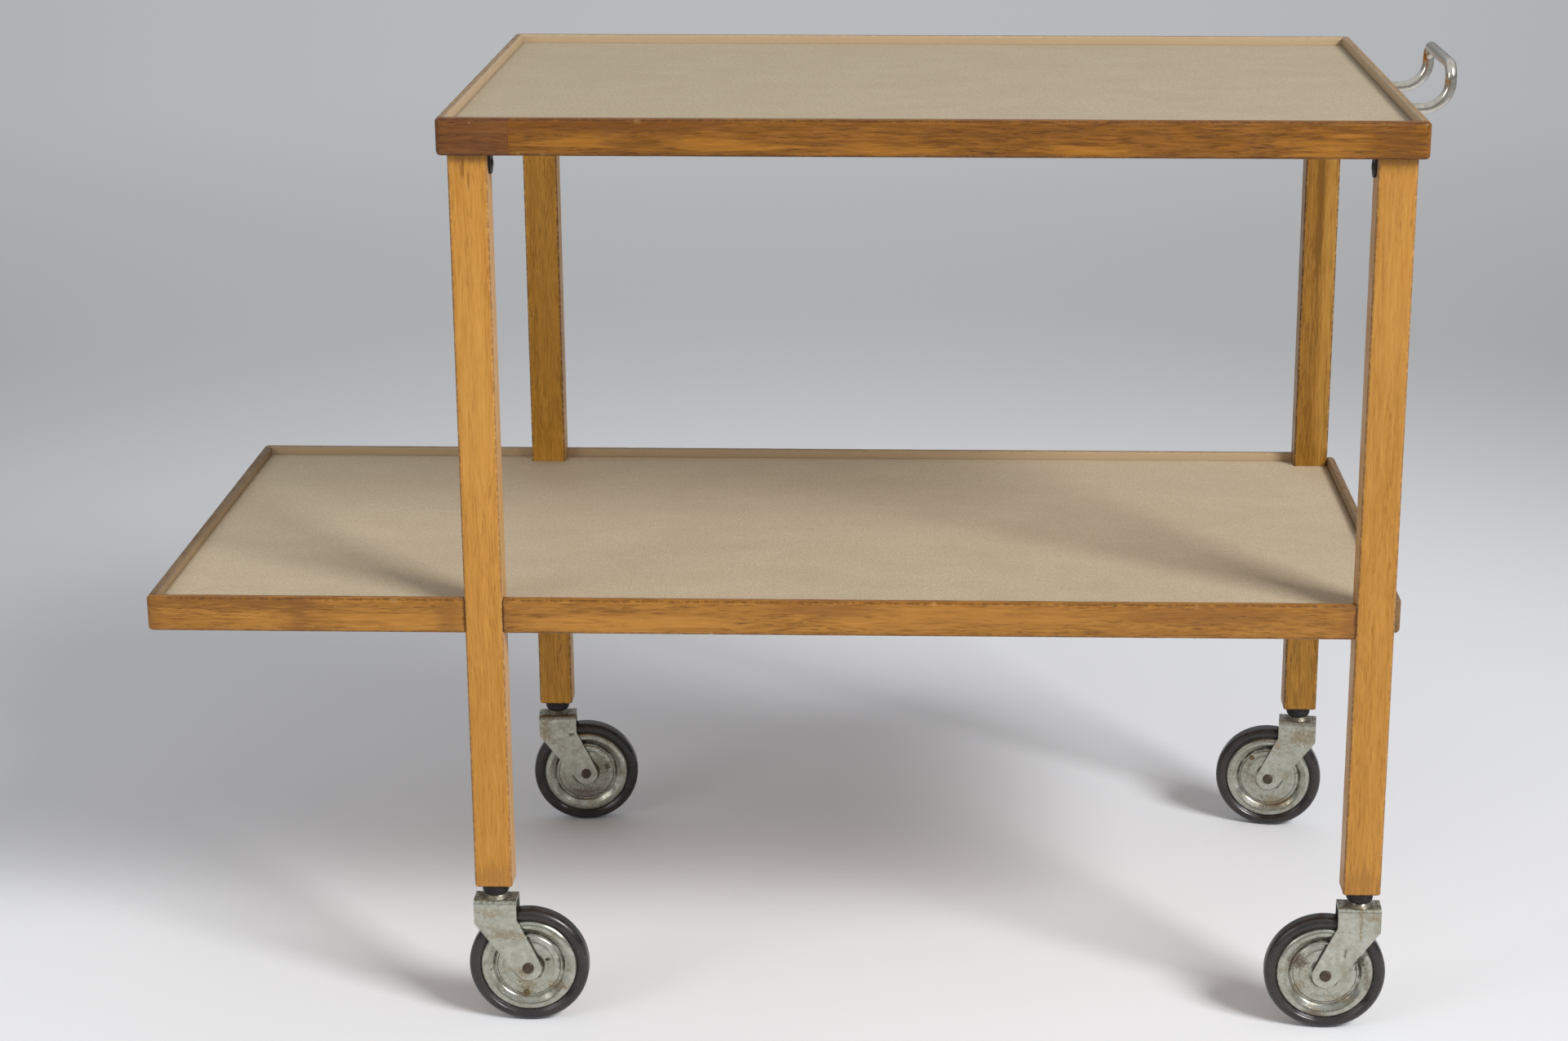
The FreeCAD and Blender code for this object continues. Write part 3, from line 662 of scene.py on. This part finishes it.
def bumped(skin, height, depth):
    feed(skin["Normal"], put(height.tree, "ShaderNodeBump", {"Height": height, "Distance": depth}))


along = {"x": (0, 0, 0), "y": (0, 0, -math.pi / 2), "z": (0, math.pi / 2, 0)}

# inside: the paler tone of the faces that look inwards, a painted sheen; one pale nick uses it too
toneNames = ("light", "dark", "line", "gold", "deep", "dirt", "inside", "nick")


def woodLook(basis, *tones, **changes):
    # a look that starts from another one: its tones, 0 to 255, in the order above, and what else differs
    return {**basis, **dict(zip(toneNames, tones)), **changes}


# band and run: bands per metre across and along; the others say how strong or how wide each effect is
legWood = woodLook(
    {}, (198, 142, 64), (170, 116, 42), (138, 84, 22), (202, 150, 73), (133, 92, 44), (88, 49, 14),
    (192, 152, 104), (100, 58, 16), band=110.0, run=4.0, contrast=0.22, streaks=0.22, lines=0.55,
    wander=0.005, rough=0.42, edge=1.7, dirtShare=0.6, outside=None)
backLegWood = woodLook(legWood, band=130.0, edge=1.6, dirtShare=0.8)
railWood = woodLook(legWood, inside=(186, 160, 114), band=260.0, run=12.0, contrast=0.2, rough=0.36, edge=2.0)
paleWood = woodLook(legWood, band=160.0, run=9.0, contrast=0.15, streaks=0.4, wander=0.006, rough=0.4)
woodLooks = {
    "leg": legWood,
    # the front-right leg's look: the leg's tones made a little darker, which is painted shade
    "legRight": woodLook(
        legWood, (190, 136, 61), (163, 111, 40), (132, 80, 21), (194, 144, 70), (127, 88, 42), (84, 47, 13)),
    # the back-left leg's look: the leg's tones made paler to make up for the tray's shade it stands in, which
    # is painted light
    "legShaded": woodLook(
        backLegWood, (208, 151, 61), (172, 120, 34), (124, 82, 12), (224, 167, 72), (131, 86, 23),
        (81, 42, 12), (204, 164, 112), (112, 70, 24), contrast=0.18, streaks=0.3, lines=0.6),
    "legOlive": woodLook(
        backLegWood, (163, 116, 44), (134, 91, 24), (96, 61, 8), (178, 133, 58), (98, 63, 11), (58, 29, 8),
        (176, 142, 98), (88, 54, 14), contrast=0.14, streaks=0.5, lines=0.7),
    "trayRail": woodLook(
        railWood, (146, 94, 31), (106, 65, 13), (71, 37, 7), (167, 110, 34), (106, 62, 21), (63, 32, 10),
        nick=(160, 126, 79), streaks=0.55, lines=0.8, wander=0.007, dirtShare=0.7),
    "darkRail": woodLook(
        railWood, (121, 77, 38), (96, 57, 24), (69, 36, 11), (137, 88, 42), (91, 49, 24), (53, 24, 11),
        nick=(166, 138, 102), streaks=0.5, lines=0.7, wander=0.006),
    "shelfRail": woodLook(
        railWood, (173, 120, 51), (141, 93, 34), (96, 58, 14), (182, 127, 54), (116, 74, 34), (71, 39, 9),
        (186, 162, 116), (186, 148, 98), band=220.0, run=9.0, streaks=0.5, lines=0.85, wander=0.007,
        rough=0.38, dirtShare=0.7),
    # endRail's tones are the rails' inner faces as they look, paler and greyer from sheen, so they hold
    # painted sheen; outside turns the outer faces back to the wood's warmer colour
    "endRail": woodLook(
        paleWood, (166, 137, 98), (136, 107, 72), (98, 72, 46), (182, 150, 106), (108, 82, 54), (78, 56, 36),
        (184, 160, 128), (180, 152, 114), lines=0.5, edge=1.1, dirtShare=0.25, outside=(0.86, 0.56, 0.22)),
    "shelfEnd": woodLook(
        paleWood, (134, 106, 68), (108, 82, 50), (78, 54, 30), (152, 120, 76), (88, 62, 36), (62, 42, 24),
        (148, 124, 94), (170, 140, 100), lines=0.6, edge=1.4, dirtShare=0.45, outside=(1.28, 0.86, 0.4)),
    "board": woodLook(
        legWood, (168, 126, 78), (132, 94, 54), (98, 66, 36), dirt=(78, 54, 34), band=60.0, run=3.0,
        contrast=0.2, streaks=0.4, lines=0.5, wander=0.01, rough=0.6, edge=2.0, dirtShare=0.5),
}

# patches of another tone: the depth of the face that they lie on, then each patch's tone, its middle and
# reach along x and z, all in millimetres, and how strong it is
patchReach = 30
woodPatches = {
    "top_rail_front_long": (
        -205, ("deep", (-140, 702), (110, 9), 0.6), ("gold", (-155, 690), (34, 6), 0.9),
        ("gold", (-60, 688), (46, 7), 0.9), ("gold", (60, 684), (60, 6), 0.7),
        ("gold", (205, 685), (34, 5), 0.9), ("gold", (372, 688), (30, 9), 1.0),
        ("deep", (420, 690), (16, 20), 0.5), ("deep", (150, 700), (80, 8), 0.35)),
    "top_rail_front_short": (
        -205, ("gold", (-215, 700), (16, 5), 0.4), ("nick", (-232, 702.6), (0.6, 0.5), 0.6),
        ("nick", (-225, 704), (0.5, 0.5), 0.6)),
    # the deep patches at the shelf rails' ends beside the legs are dark joints with painted contact shade
    "shelf_rail_front_left": (
        -198, ("deep", (-430, 343), (90, 7), 0.7), ("deep", (-373, 334), (9, 20), 0.6),
        ("gold", (-295, 329), (55, 9), 0.9), ("gold", (-405, 327), (26, 6), 0.8),
        ("deep", (-262, 333), (9, 22), 0.5), ("deep", (-482, 333), (7, 22), 0.4),
        ("nick", (-345.5, 339.5), (1.2, 0.8), 0.9)),
    "shelf_rail_front_mid": (
        -198, ("gold", (-120, 328), (90, 8), 0.8), ("gold", (120, 334), (120, 9), 0.6),
        ("deep", (20, 340), (60, 6), 0.5), ("deep", (300, 336), (70, 9), 0.5),
        ("deep", (405, 333), (13, 22), 0.6), ("deep", (-224, 333), (9, 22), 0.5)),
    # the deep patch at the top of each front leg, just under the tray, is a stain and a painted shadow of the
    # tray
    "leg_front_left": (
        -198, ("deep", (-235, 679), (20, 8), 0.7), ("dirt", (-239, 668), (1.6, 8), 0.7),
        ("dirt", (-235, 662), (1.2, 7), 0.55), ("gold", (-235, 520), (12, 110), 0.5),
        ("deep", (-236, 122), (18, 12), 0.5), ("inside", (-249, 508), (2.2, 3.0), 0.8)),
    "leg_front_right": (
        -198, ("deep", (422, 677), (20, 8), 0.5), ("gold", (420, 560), (12, 90), 0.5),
        ("deep", (424, 124), (18, 14), 0.5)),
    "leg_back_right": (180, ("gold", (430, 480), (6, 240), 0.8), ("deep", (421, 560), (3, 130), 0.8)),
}


def flatMarks(depth, reach, marks):
    # marks on a face that looks along y, with their depth and their reach in depth put in
    return [(tone, (x, depth, z), (wide, reach, tall), share) for tone, (x, z), (wide, tall), share in marks]


def woodFinish(node, look, seed):
    look = woodLooks[look]
    tones = {name: shade(*look[name]) for name in toneNames}
    low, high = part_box(node)
    axis, _, *ends = timbers.get(node, ("x", "", "", ""))[:4]
    finish, skin, place = newFinish(node + "_wood")
    fibre = put(place.tree, "ShaderNodeMapping", {
        "Vector": place, "Location": (seed * 1.37, seed * 0.71, seed * 0.53), "Rotation": along[axis]})
    effects = ("band", "run", "contrast", "streaks", "lines", "wander")
    grain = useGroup(grainGroup, Place=fibre, Light=tones["light"], Dark=tones["dark"], Line=tones["line"],
                     **{effect.capitalize(): look[effect] for effect in effects})
    colour = grain["Colour"]
    stretch = [28.0 if way == axis else 460.0 for way in "xyz"]
    face, *patches = woodPatches.get(node, (0,))
    for tone, middle, reach, share in flatMarks(face, patchReach, patches):
        mask = useGroup(
            patchGroup, Place=place, Middle=metres(*middle), Reach=metres(*reach), Grain=stretch, Ragged=0.9)
        colour = mixed(mask * share, colour, mixed(grain["Tone"] * 0.5, tones[tone], tones["dark"]))
    # dirt gathers along the edges, though not round a corner or seam
    for end, limit, step in zip(ends, (low, high), (-0.02, 0.02)):
        if end in ("seam", "corner"):
            limit["xyz".index(axis)] += step
    edge = useGroup(boxEdgeGroup, Place=place, Middle=(low + high) / 2, Half=(high - low) / 2)
    # the faces that look inwards get the inside tone, a painted sheen
    if node in timbers:
        colour = sideTone(node, place, edge["Depth"], colour, look["outside"], tones["inside"])
    width = look["edge"] * millimetre
    dirt = useGroup(wearGroup, Place=place, Distance=edge["Distance"], Width=width, Ragged=0.8, Grain=330.0)
    colour = mixed(dirt * look["dirtShare"], colour, tones["dirt"])
    nick = put(place.tree, "ShaderNodeAttribute", output="Fac", attribute_name="nick")
    feed(skin["Base Color"], mixed(nick * 0.5, colour, tones["nick"]))
    worn = cloud(place, 55, 3.0)
    feed(skin["Roughness"], fade(worn, 0.35, 0.65, look["rough"] - 0.05, look["rough"] + 0.1))
    feed(skin["Specular IOR Level"], 0.28)
    bumped(skin, grain["Height"], 0.00014)
    return finish


def sideTone(node, place, depth, colour, outside, inside):
    # the paler face that looks inwards, a rail's lip or a leg's sides, is a painted sheen; a rail's outer
    # face may be warmer
    low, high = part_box(node)
    axis, outer = timbers[node][:2]
    if axis == "z":
        return mixed(fade(split(depth)[0], 0.0016, 0.0006) * 0.6, colour, inside)
    across = "xyz".index(outer[1])
    inner, front = (low, high) if outer[0] == "+" else (high, low)

    def onFace(face):
        return fade(abs(split(place)[across] - face[across]), 0.0014, 0.0006)
    if outside:
        colour = mixed(onFace(front), colour, colour * outside)
    return mixed(onFace(inner), colour, inside)


linoleum = {"dark": shade(174, 157, 132), "pale": shade(180, 164, 139), "speckle": shade(150, 132, 106),
            "scuff": shade(142, 120, 92), "fleck": shade(104, 82, 58), "grime": shade(110, 90, 64),
            "rough": (0.62, 0.7)}


def linoleumFinish(node, seed, paintedLight):
    # how much paler the sheet is made than plain linoleum: painted light, strongest on the shelf's sheet,
    # which lies in the tray's shade
    low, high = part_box(node)
    finish, skin, place = newFinish(node + "_finish")
    own = place + (seed, seed * 0.4, 0)
    mottle = cloud(own, (16, 30, 30), 3.0, 0.6)
    speckle = cloud(own, 820, 2.0, 0.8)
    colour = mixed(fade(mottle, 0.3, 0.7), linoleum["dark"], linoleum["pale"])
    colour = mixed(fade(speckle, 0.38, 0.62, 0.0, 0.65), colour, linoleum["speckle"])
    scuffs = fade(cloud(own, (12, 190, 190), 3.0, 0.6), 0.62, 0.74)
    colour = mixed(scuffs * 0.07, colour, linoleum["scuff"])
    colour = mixed(spots(own, 0.021, 0.06, 0.05) * 0.6, colour, linoleum["fleck"])
    edge = useGroup(boxEdgeGroup, Place=place, Middle=(low + high) / 2, Half=(high - low) / 2)
    grime = useGroup(wearGroup, Place=place, Distance=edge["Distance"], Width=0.003, Ragged=0.6, Grain=120.0)
    feed(skin["Base Color"], mixed(grime * 0.4, colour, linoleum["grime"]) * paintedLight)
    feed(skin["Roughness"], fade(mottle, 0.3, 0.7, *linoleum["rough"]))
    feed(skin["Specular IOR Level"], 0.3)
    bumped(skin, speckle, 0.00006)
    return finish


zinc = {"clean": shade(188, 189, 178), "dull": shade(158, 157, 142), "stain": shade(132, 116, 80),
        "pit": shade(56, 48, 38), "dirt": shade(58, 50, 38), "grime": shade(98, 88, 66),
        "rust": shade(134, 108, 62), "brown": shade(98, 76, 62), "seat": shade(92, 84, 66), "disc": 0.95,
        "fork": 0.7, "rough": (0.18, 0.52)}


def zincFinish(name, middle, metal, pits, rings, patches):
    finish, skin, place = newFinish(name)
    own = place - middle
    patina = useGroup(patinaGroup, Place=own, Clean=zinc["clean"], Dull=zinc["dull"], Stain=zinc["stain"],
                      Pit=zinc["pit"], Stains=0.5, Pits=pits)
    marks = []
    radius = maths("LENGTH", own * (1, 0, 1))
    for tone, inner, outer, share, upper in rings:
        # dirt between two radii of the wheel, partly painted shade; upper: how much more of it lies on the
        # upper half, where the walls of the hollows are shaded, which is painted shade
        half = (outer - inner) / 2 * millimetre
        wander = (cloud(own, 300) - 0.5) * 0.0016
        ring = fade(abs(radius - (inner + outer) / 2 * millimetre + wander), half, half * 0.3)
        patchy = fade(cloud(own, 110, 3.0), 0.3, 0.62, 0.25, 1.0) * share
        marks.append((tone, ring * patchy * fade(split(own)[2], -0.02, 0.02, 1.0 - upper, 1.0)))
    for tone, spot, reach, share in patches:
        mask = useGroup(patchGroup, Place=own, Middle=metres(*spot), Reach=metres(*reach),
                        Grain=(420.0, 420.0, 420.0), Ragged=0.75)
        marks.append((tone, mask * share))
    colour, dullness = patina["Colour"], patina["Dullness"]
    for tone, mask in marks:
        colour, dullness = mixed(mask, colour, zinc[tone]), maths("MAXIMUM", dullness, mask)
    feed(skin["Base Color"], colour)
    feed(skin["Metallic"], metal)
    feed(skin["Roughness"], fade(dullness, 0.0, 1.0, *zinc["rough"]))
    bumped(skin, patina["Height"], 0.00015)
    return finish


rubberTones = {"dark": shade(34, 30, 30), "pale": shade(48, 42, 39), "dust": shade(130, 122, 112),
               "rough": (0.2, 0.34)}


def rubberFinish(name, middle):
    finish, skin, place = newFinish(name)
    own = place - middle
    broad = cloud(own, 60, 3.0, 0.6)
    colour = mixed(fade(broad, 0.35, 0.65), rubberTones["dark"], rubberTones["pale"])
    feed(skin["Base Color"], mixed(spots(own, 0.004, 0.05, 0.2) * 0.35, colour, rubberTones["dust"]))
    feed(skin["Roughness"], fade(broad, 0.3, 0.7, *rubberTones["rough"]))
    bumped(skin, cloud(own, 900, 2.0, 0.6), 0.00003)
    return finish


def metalFinish(name, clean, dull, rough, metallic, mottle, pits):
    finish, skin, place = newFinish(name)
    patina = useGroup(patinaGroup, Place=place, Clean=shade(*clean), Dull=shade(*dull), Stain=shade(*dull),
                      Pit=shade(48, 36, 26), Stains=0.5, Pits=pits)
    feed(skin["Base Color"], patina["Colour"])
    feed(skin["Metallic"], metallic)
    feed(skin["Roughness"], fade(cloud(place, mottle, 3.0), 0.3, 0.7, *rough))
    bumped(skin, patina["Height"], 0.0001)
    return finish


def dress(finish, *nodes):
    for node in nodes:
        target = shaped.get(node) or frame["nodes"][node]
        target.data.materials.clear()
        target.data.materials.append(finish)


boards = {"top_panel": ("board", 7.1), "shelf_panel": ("board", 8.8), "shelf_dowels": ("leg", 9.9)}
for node, (*_, look, seed) in {**timbers, **boards}.items():
    dress(woodFinish(node, look, seed), node)
# each sheet is made paler by its own factor, which is painted light; the shelf's more, for the tray's shade
# over it
dress(linoleumFinish("top_linoleum", 2.0, (1.11, 1.14, 1.15)), "top_linoleum")
dress(linoleumFinish("shelf_linoleum", 5.0, (1.31, 1.35, 1.38)), "shelf_linoleum")
print("wood and linoleum dressed")

chrome = metalFinish("chrome", (216, 212, 204), (188, 180, 164), (0.13, 0.26), 1.0, 90, 0.15)
blackSteel = metalFinish("black_steel", (44, 40, 40), (32, 28, 28), (0.4, 0.6), 0.5, 160, 0.3)
rustySteel = metalFinish("rusty_steel", (92, 78, 66), (62, 51, 43), (0.4, 0.65), 0.5, 300, 0.5)
rivetSteel = metalFinish("rivet_steel", (118, 104, 72), (86, 72, 48), (0.4, 0.6), 0.5, 300, 0.4)
screwSteel = metalFinish("screw_steel", (96, 86, 76), (66, 56, 48), (0.35, 0.55), 0.7, 300, 0.4)
dress(chrome, "handle")
dress(blackSteel, "leg_brackets", "swivel_cups", "stem_sockets")

# marks on single discs and forks: tone, place from the hub and reach along x and z in millimetres, strength
discFace, forkFace, markReach = -7, -10, 9
discMarks = {
    "front_left": (
        ("rust", (-2, -15), (8, 5), 0.5), ("rust", (22, -16), (8, 4), 0.6), ("rust", (-3, -23), (6, 5), 0.6),
        ("dirt", (15, 5), (2.2, 1.8), 0.9), ("dirt", (24, 4), (2, 10), 0.5)),
    "front_right": (
        ("brown", (-21, 9), (8, 7), 0.8), ("rust", (-20, -12), (5, 7), 0.5), ("dirt", (26, 12), (6, 9), 0.75),
        ("brown", (-8, -33), (10, 5), 0.6), ("rust", (14, -21), (12, 4), 0.4),
        ("brown", (33, -6), (4, 9), 0.5)),
    "back_left": (
        ("grime", (14, 8), (16, 14), 0.55), ("dirt", (20, 4), (4, 4), 0.6),
        ("brown", (0, -20), (16, 6), 0.5)),
    "back_right": (("rust", (6, -24), (16, 6), 0.55), ("grime", (-20, 4), (8, 12), 0.4)),
}
forkMarks = {
    "front_left": (
        ("rust", (-16, 28), (14, 4), 0.5), ("rust", (-5, -4), (6, 5), 0.6), ("rust", (-28, 46), (8, 5), 0.4),
        ("grime", (-34, 20), (4, 16), 0.4)),
    "front_right": (
        ("rust", (25, 42), (1.6, 14), 0.6), ("rust", (34, 50), (8, 4), 0.5),
        ("dirt", (14, 18), (1.2, 5), 0.6)),
    "back_left": (("rust", (-34, 42), (6, 12), 0.5), ("dirt", (-12, 38), (3, 2), 0.7)),
    "back_right": (("rust", (28, 42), (14, 9), 0.6), ("rust", (6, 32), (4, 4), 0.4)),
}
# rings round the hub are dirt in the hollows with painted shade: the groove's and bead's rings lie heavier on
# the upper half, which is painted shade, and the ring from 9.8 to 13 mm is a painted shadow of the fork arm's
# end
discRings = (("dirt", 25.0, 28.6, 0.95, 0.3), ("grime", 28.0, 33.0, 0.35, 0.5), ("dirt", 9.8, 13.0, 0.9, 0.0),
             ("dirt", 36.0, 38.0, 0.6, 0.3), ("grime", 18.6, 20.4, 0.4, 0.4))
for corner in corners:
    hub = hinges["wheel_" + corner]
    dress(rubberFinish("tyre_" + corner + "_rubber", hub), "tyre_" + corner)
    marks = flatMarks(discFace, markReach, discMarks[corner])
    dress(zincFinish("disc_" + corner + "_zinc", hub, zinc["disc"], 0.9, discRings, marks),
          "disc_outer_" + corner, "disc_inner_" + corner, "hub_bush_" + corner)
    # the plate's top is dirty round its raised seat
    seat = (hinges["swivel_" + corner] - hub) / millimetre + Vector((0, 0, 1))
    marks = [("seat", seat, (26, 24, 3.6), 0.85)] + flatMarks(forkFace, markReach, forkMarks[corner])
    dress(zincFinish("fork_" + corner + "_zinc", hub, zinc["fork"], 0.7, (), marks), "fork_" + corner)
    dress(rustySteel, "stem_" + corner)
print("metal and rubber dressed")

# peened pins in metres: rivets through the discs, the axle through the fork
rivet = {"Pin Radius": 0.0014, "Half Length": 0.00495, "Head Radius": 0.0024, "Head Height": 0.00105,
         "Dimple Radius": 0.0011, "Dimple Depth": 0.0002, "Finish": rivetSteel}
axlePin = {"Pin Radius": 0.00298, "Half Length": 0.01025, "Head Radius": 0.0044, "Head Height": 0.0022,
           "Dimple Radius": 0.0024, "Dimple Depth": 0.0007, "Finish": rustySteel}
screwHead = {"Head Radius": 0.0036, "Head Height": 0.0012, "Slot Width": 0.0009, "Slot Depth": 0.0006,
             "Slot Turn": 0.5, "Shank Radius": 0.0017, "Shank Length": 0.0128, "Finish": screwSteel}


def islands(node):
    # lowest and highest corner of each separate solid of a node, in order of place
    shell = bmesh.new()
    shell.from_mesh(frame["nodes"][node].data)
    bmesh.ops.remove_doubles(shell, verts=shell.verts, dist=0.000005)
    left, found = set(shell.verts), []
    while left:
        reached, waiting = set(), [left.pop()]
        while waiting:
            vertex = waiting.pop()
            reached.add(vertex)
            for edge in vertex.link_edges:
                other = edge.other_vert(vertex)
                if other in left:
                    left.discard(other)
                    waiting.append(other)
        places = [vertex.co for vertex in reached]
        found.append([Vector(pick(place[way] for place in places) for way in range(3))
                      for pick in (min, max)])
    shell.free()
    return sorted(found, key=lambda box: (*box[0], *box[1]))


def screwSeats(node):
    # each screw's head is its wider end; its seat lies one head's height inside that end
    seats = []
    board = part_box("top_panel")
    for low, high in islands(node):
        seat = (low + high) / 2
        way = max(range(3), key=lambda axis: high[axis] - low[axis])
        facing = Vector((0, 0, 0))
        facing[way] = 1.0 if way != 2 and seat.x < (board[0].x + board[1].x) / 2 else -1.0
        end = high if facing[way] > 0 else low
        seat[way] = end[way] - facing[way] * screwHead["Head Height"]
        seats.append((seat, facing))
    return seats


for node in ("bracket_screws", "handle_screws"):
    setOut(node + "_slotted", screwTree, screwSeats(node), screwHead, "trolley", node)
for corner in corners:
    axle = (wheelPlace(corner).to_3x3() @ Vector((0, 1, 0))).normalized()
    middles = [(low + high) / 2 for low, high in islands("disc_rivets_" + corner)]
    setOut("disc_rivets_" + corner + "_peened", pinTree, [(middle, axle) for middle in middles], rivet,
           "wheel_" + corner, "disc_rivets_" + corner)
    setOut("axle_" + corner + "_peened", pinTree, [(hinges["wheel_" + corner], axle)], axlePin,
           "swivel_" + corner, "axle_" + corner)
print("screws, rivets and axles set out")

# the floor's half side and its tones, the paler front tone being painted light, where it fades into the
# backdrop, and how bright that is
studio = {"reach": 14.0, "near": shade(231, 232, 235), "front": shade(242, 243, 245),
          "far": shade(174, 176, 178), "wall": shade(184, 186, 189), "fadeFrom": 0.75, "fadeTo": 2.2,
          "ambient": 0.435, "viewFrom": 2.2, "sideFall": 1.35, "mostFall": 0.25, "evenFall": 0.12,
          "skyLow": 0.5, "skyHigh": 1.5}


def backdropRays(tree):
    # the rays that see the backdrop itself, rather than being lit by it
    rays = put(tree, "ShaderNodeLightPath")
    mirrored = maths("MAXIMUM", rays["Is Glossy Ray"], rays["Is Transmission Ray"])
    return maths("MAXIMUM", rays["Is Camera Ray"], mirrored), rays["Is Camera Ray"]


def buildFloor():
    mesh = bpy.data.meshes.new("floor")
    reach = studio["reach"]
    mesh.from_pydata([(-reach, -reach, 0), (reach, -reach, 0), (reach, reach, 0), (-reach, reach, 0)], [],
                     [(0, 1, 2, 3)])
    floor = newObject("floor", mesh)
    finish, skin, place = newFinish("floor_paint")
    feed(skin["Roughness"], 0.6)
    feed(skin["Specular IOR Level"], 0.2)
    away = maths("LENGTH", place)
    x, y, _ = split(place)
    # painted light: the floor is paler in front and to the left; far off its glow grows darker to both sides,
    # which is painted shade
    front = fade(y, 0.25, -0.15) * fade(y, -0.8, -0.45) * fade(x, 0.8, 0.2)
    feed(skin["Base Color"], mixed(front, studio["near"], studio["front"]))
    side = x / (y + studio["viewFrom"])
    sideFall = maths("MINIMUM", maths("POWER", side + 0.035, 2.0) * studio["sideFall"], studio["mostFall"])
    behind = fade(y, -0.6, 0.6)
    fall = sideFall * behind + (1.0 - behind) * studio["evenFall"]
    wall = mixed(fade(away, studio["fadeTo"], studio["fadeTo"] * 2), studio["far"], studio["wall"])
    glow = put(place.tree, "ShaderNodeEmission", {"Color": wall, "Strength": 1.0 - fall})
    share = backdropRays(place.tree)[0] * fade(away, studio["fadeFrom"], studio["fadeTo"])
    nodes = place.tree.nodes
    paint = Wire(place.tree, nodes["Principled BSDF"])
    both = put(place.tree, "ShaderNodeMixShader", {0: share, 1: paint, 2: glow})
    feed(nodes["Material Output"].inputs["Surface"], both)
    mesh.materials.append(finish)


def buildWorld():
    world = bpy.data.worlds.new("studio")
    bpy.context.scene.world = world
    world.use_nodes = True
    tree = world.node_tree
    tree.nodes.clear()
    seen, direct = backdropRays(tree)
    plain = put(tree, "ShaderNodeBackground", {"Color": (0.97, 0.98, 1.0, 1), "Strength": studio["ambient"]})
    # mirrors see a room that is dark at eye height and bright overhead
    way = put(tree, "ShaderNodeTexCoord", output="Generated")
    room = fade(split(way)[2], 0.0, 0.75, studio["skyLow"], studio["skyHigh"]) * (1.0 - direct) + direct
    shown = put(tree, "ShaderNodeBackground", {"Color": studio["wall"], "Strength": room})
    both = put(tree, "ShaderNodeMixShader", {0: seen, 1: plain, 2: shown})
    put(tree, "ShaderNodeOutputWorld", {"Surface": both})


# soft boxes: where they hang, what they point at, side length and power
lamps = {
    "keyBox": {"place": (3.35, -3.0, 3.72), "aim": (0.0, 0.0, 0.35), "size": 1.7, "power": 271.0},
    "fillBox": {"place": (-2.2, -2.0, 1.7), "aim": (0.0, 0.0, 0.35), "size": 1.2, "power": 14.0},
}


def buildLamps():
    for name, lamp in lamps.items():
        data = bpy.data.lights.new(name, "AREA")
        data.size = lamp["size"]
        data.energy = lamp["power"]
        hung = newObject(name, data)
        hung.location = lamp["place"]
        aim = Vector(lamp["aim"]) - hung.location
        hung.rotation_euler = aim.to_track_quat("-Z", "Y").to_euler()


cameraView = {"place": (0.090, -2.182, 1.056), "turn": (74.61, 0.0, 1.31), "lens": 65.51, "sensor": 36.0,
              "shift": (-0.05, -0.085)}


def buildCamera():
    data = bpy.data.cameras.new("camera")
    data.lens = cameraView["lens"]
    data.sensor_width = cameraView["sensor"]
    data.shift_x, data.shift_y = cameraView["shift"]
    held = newObject("camera", data)
    held.location = cameraView["place"]
    held.rotation_euler = [math.radians(angle) for angle in cameraView["turn"]]
    bpy.context.scene.camera = held


buildFloor()
buildWorld()
buildLamps()
buildCamera()
bpy.context.scene.view_settings.view_transform = "Standard"
print("studio, lamps and camera set")
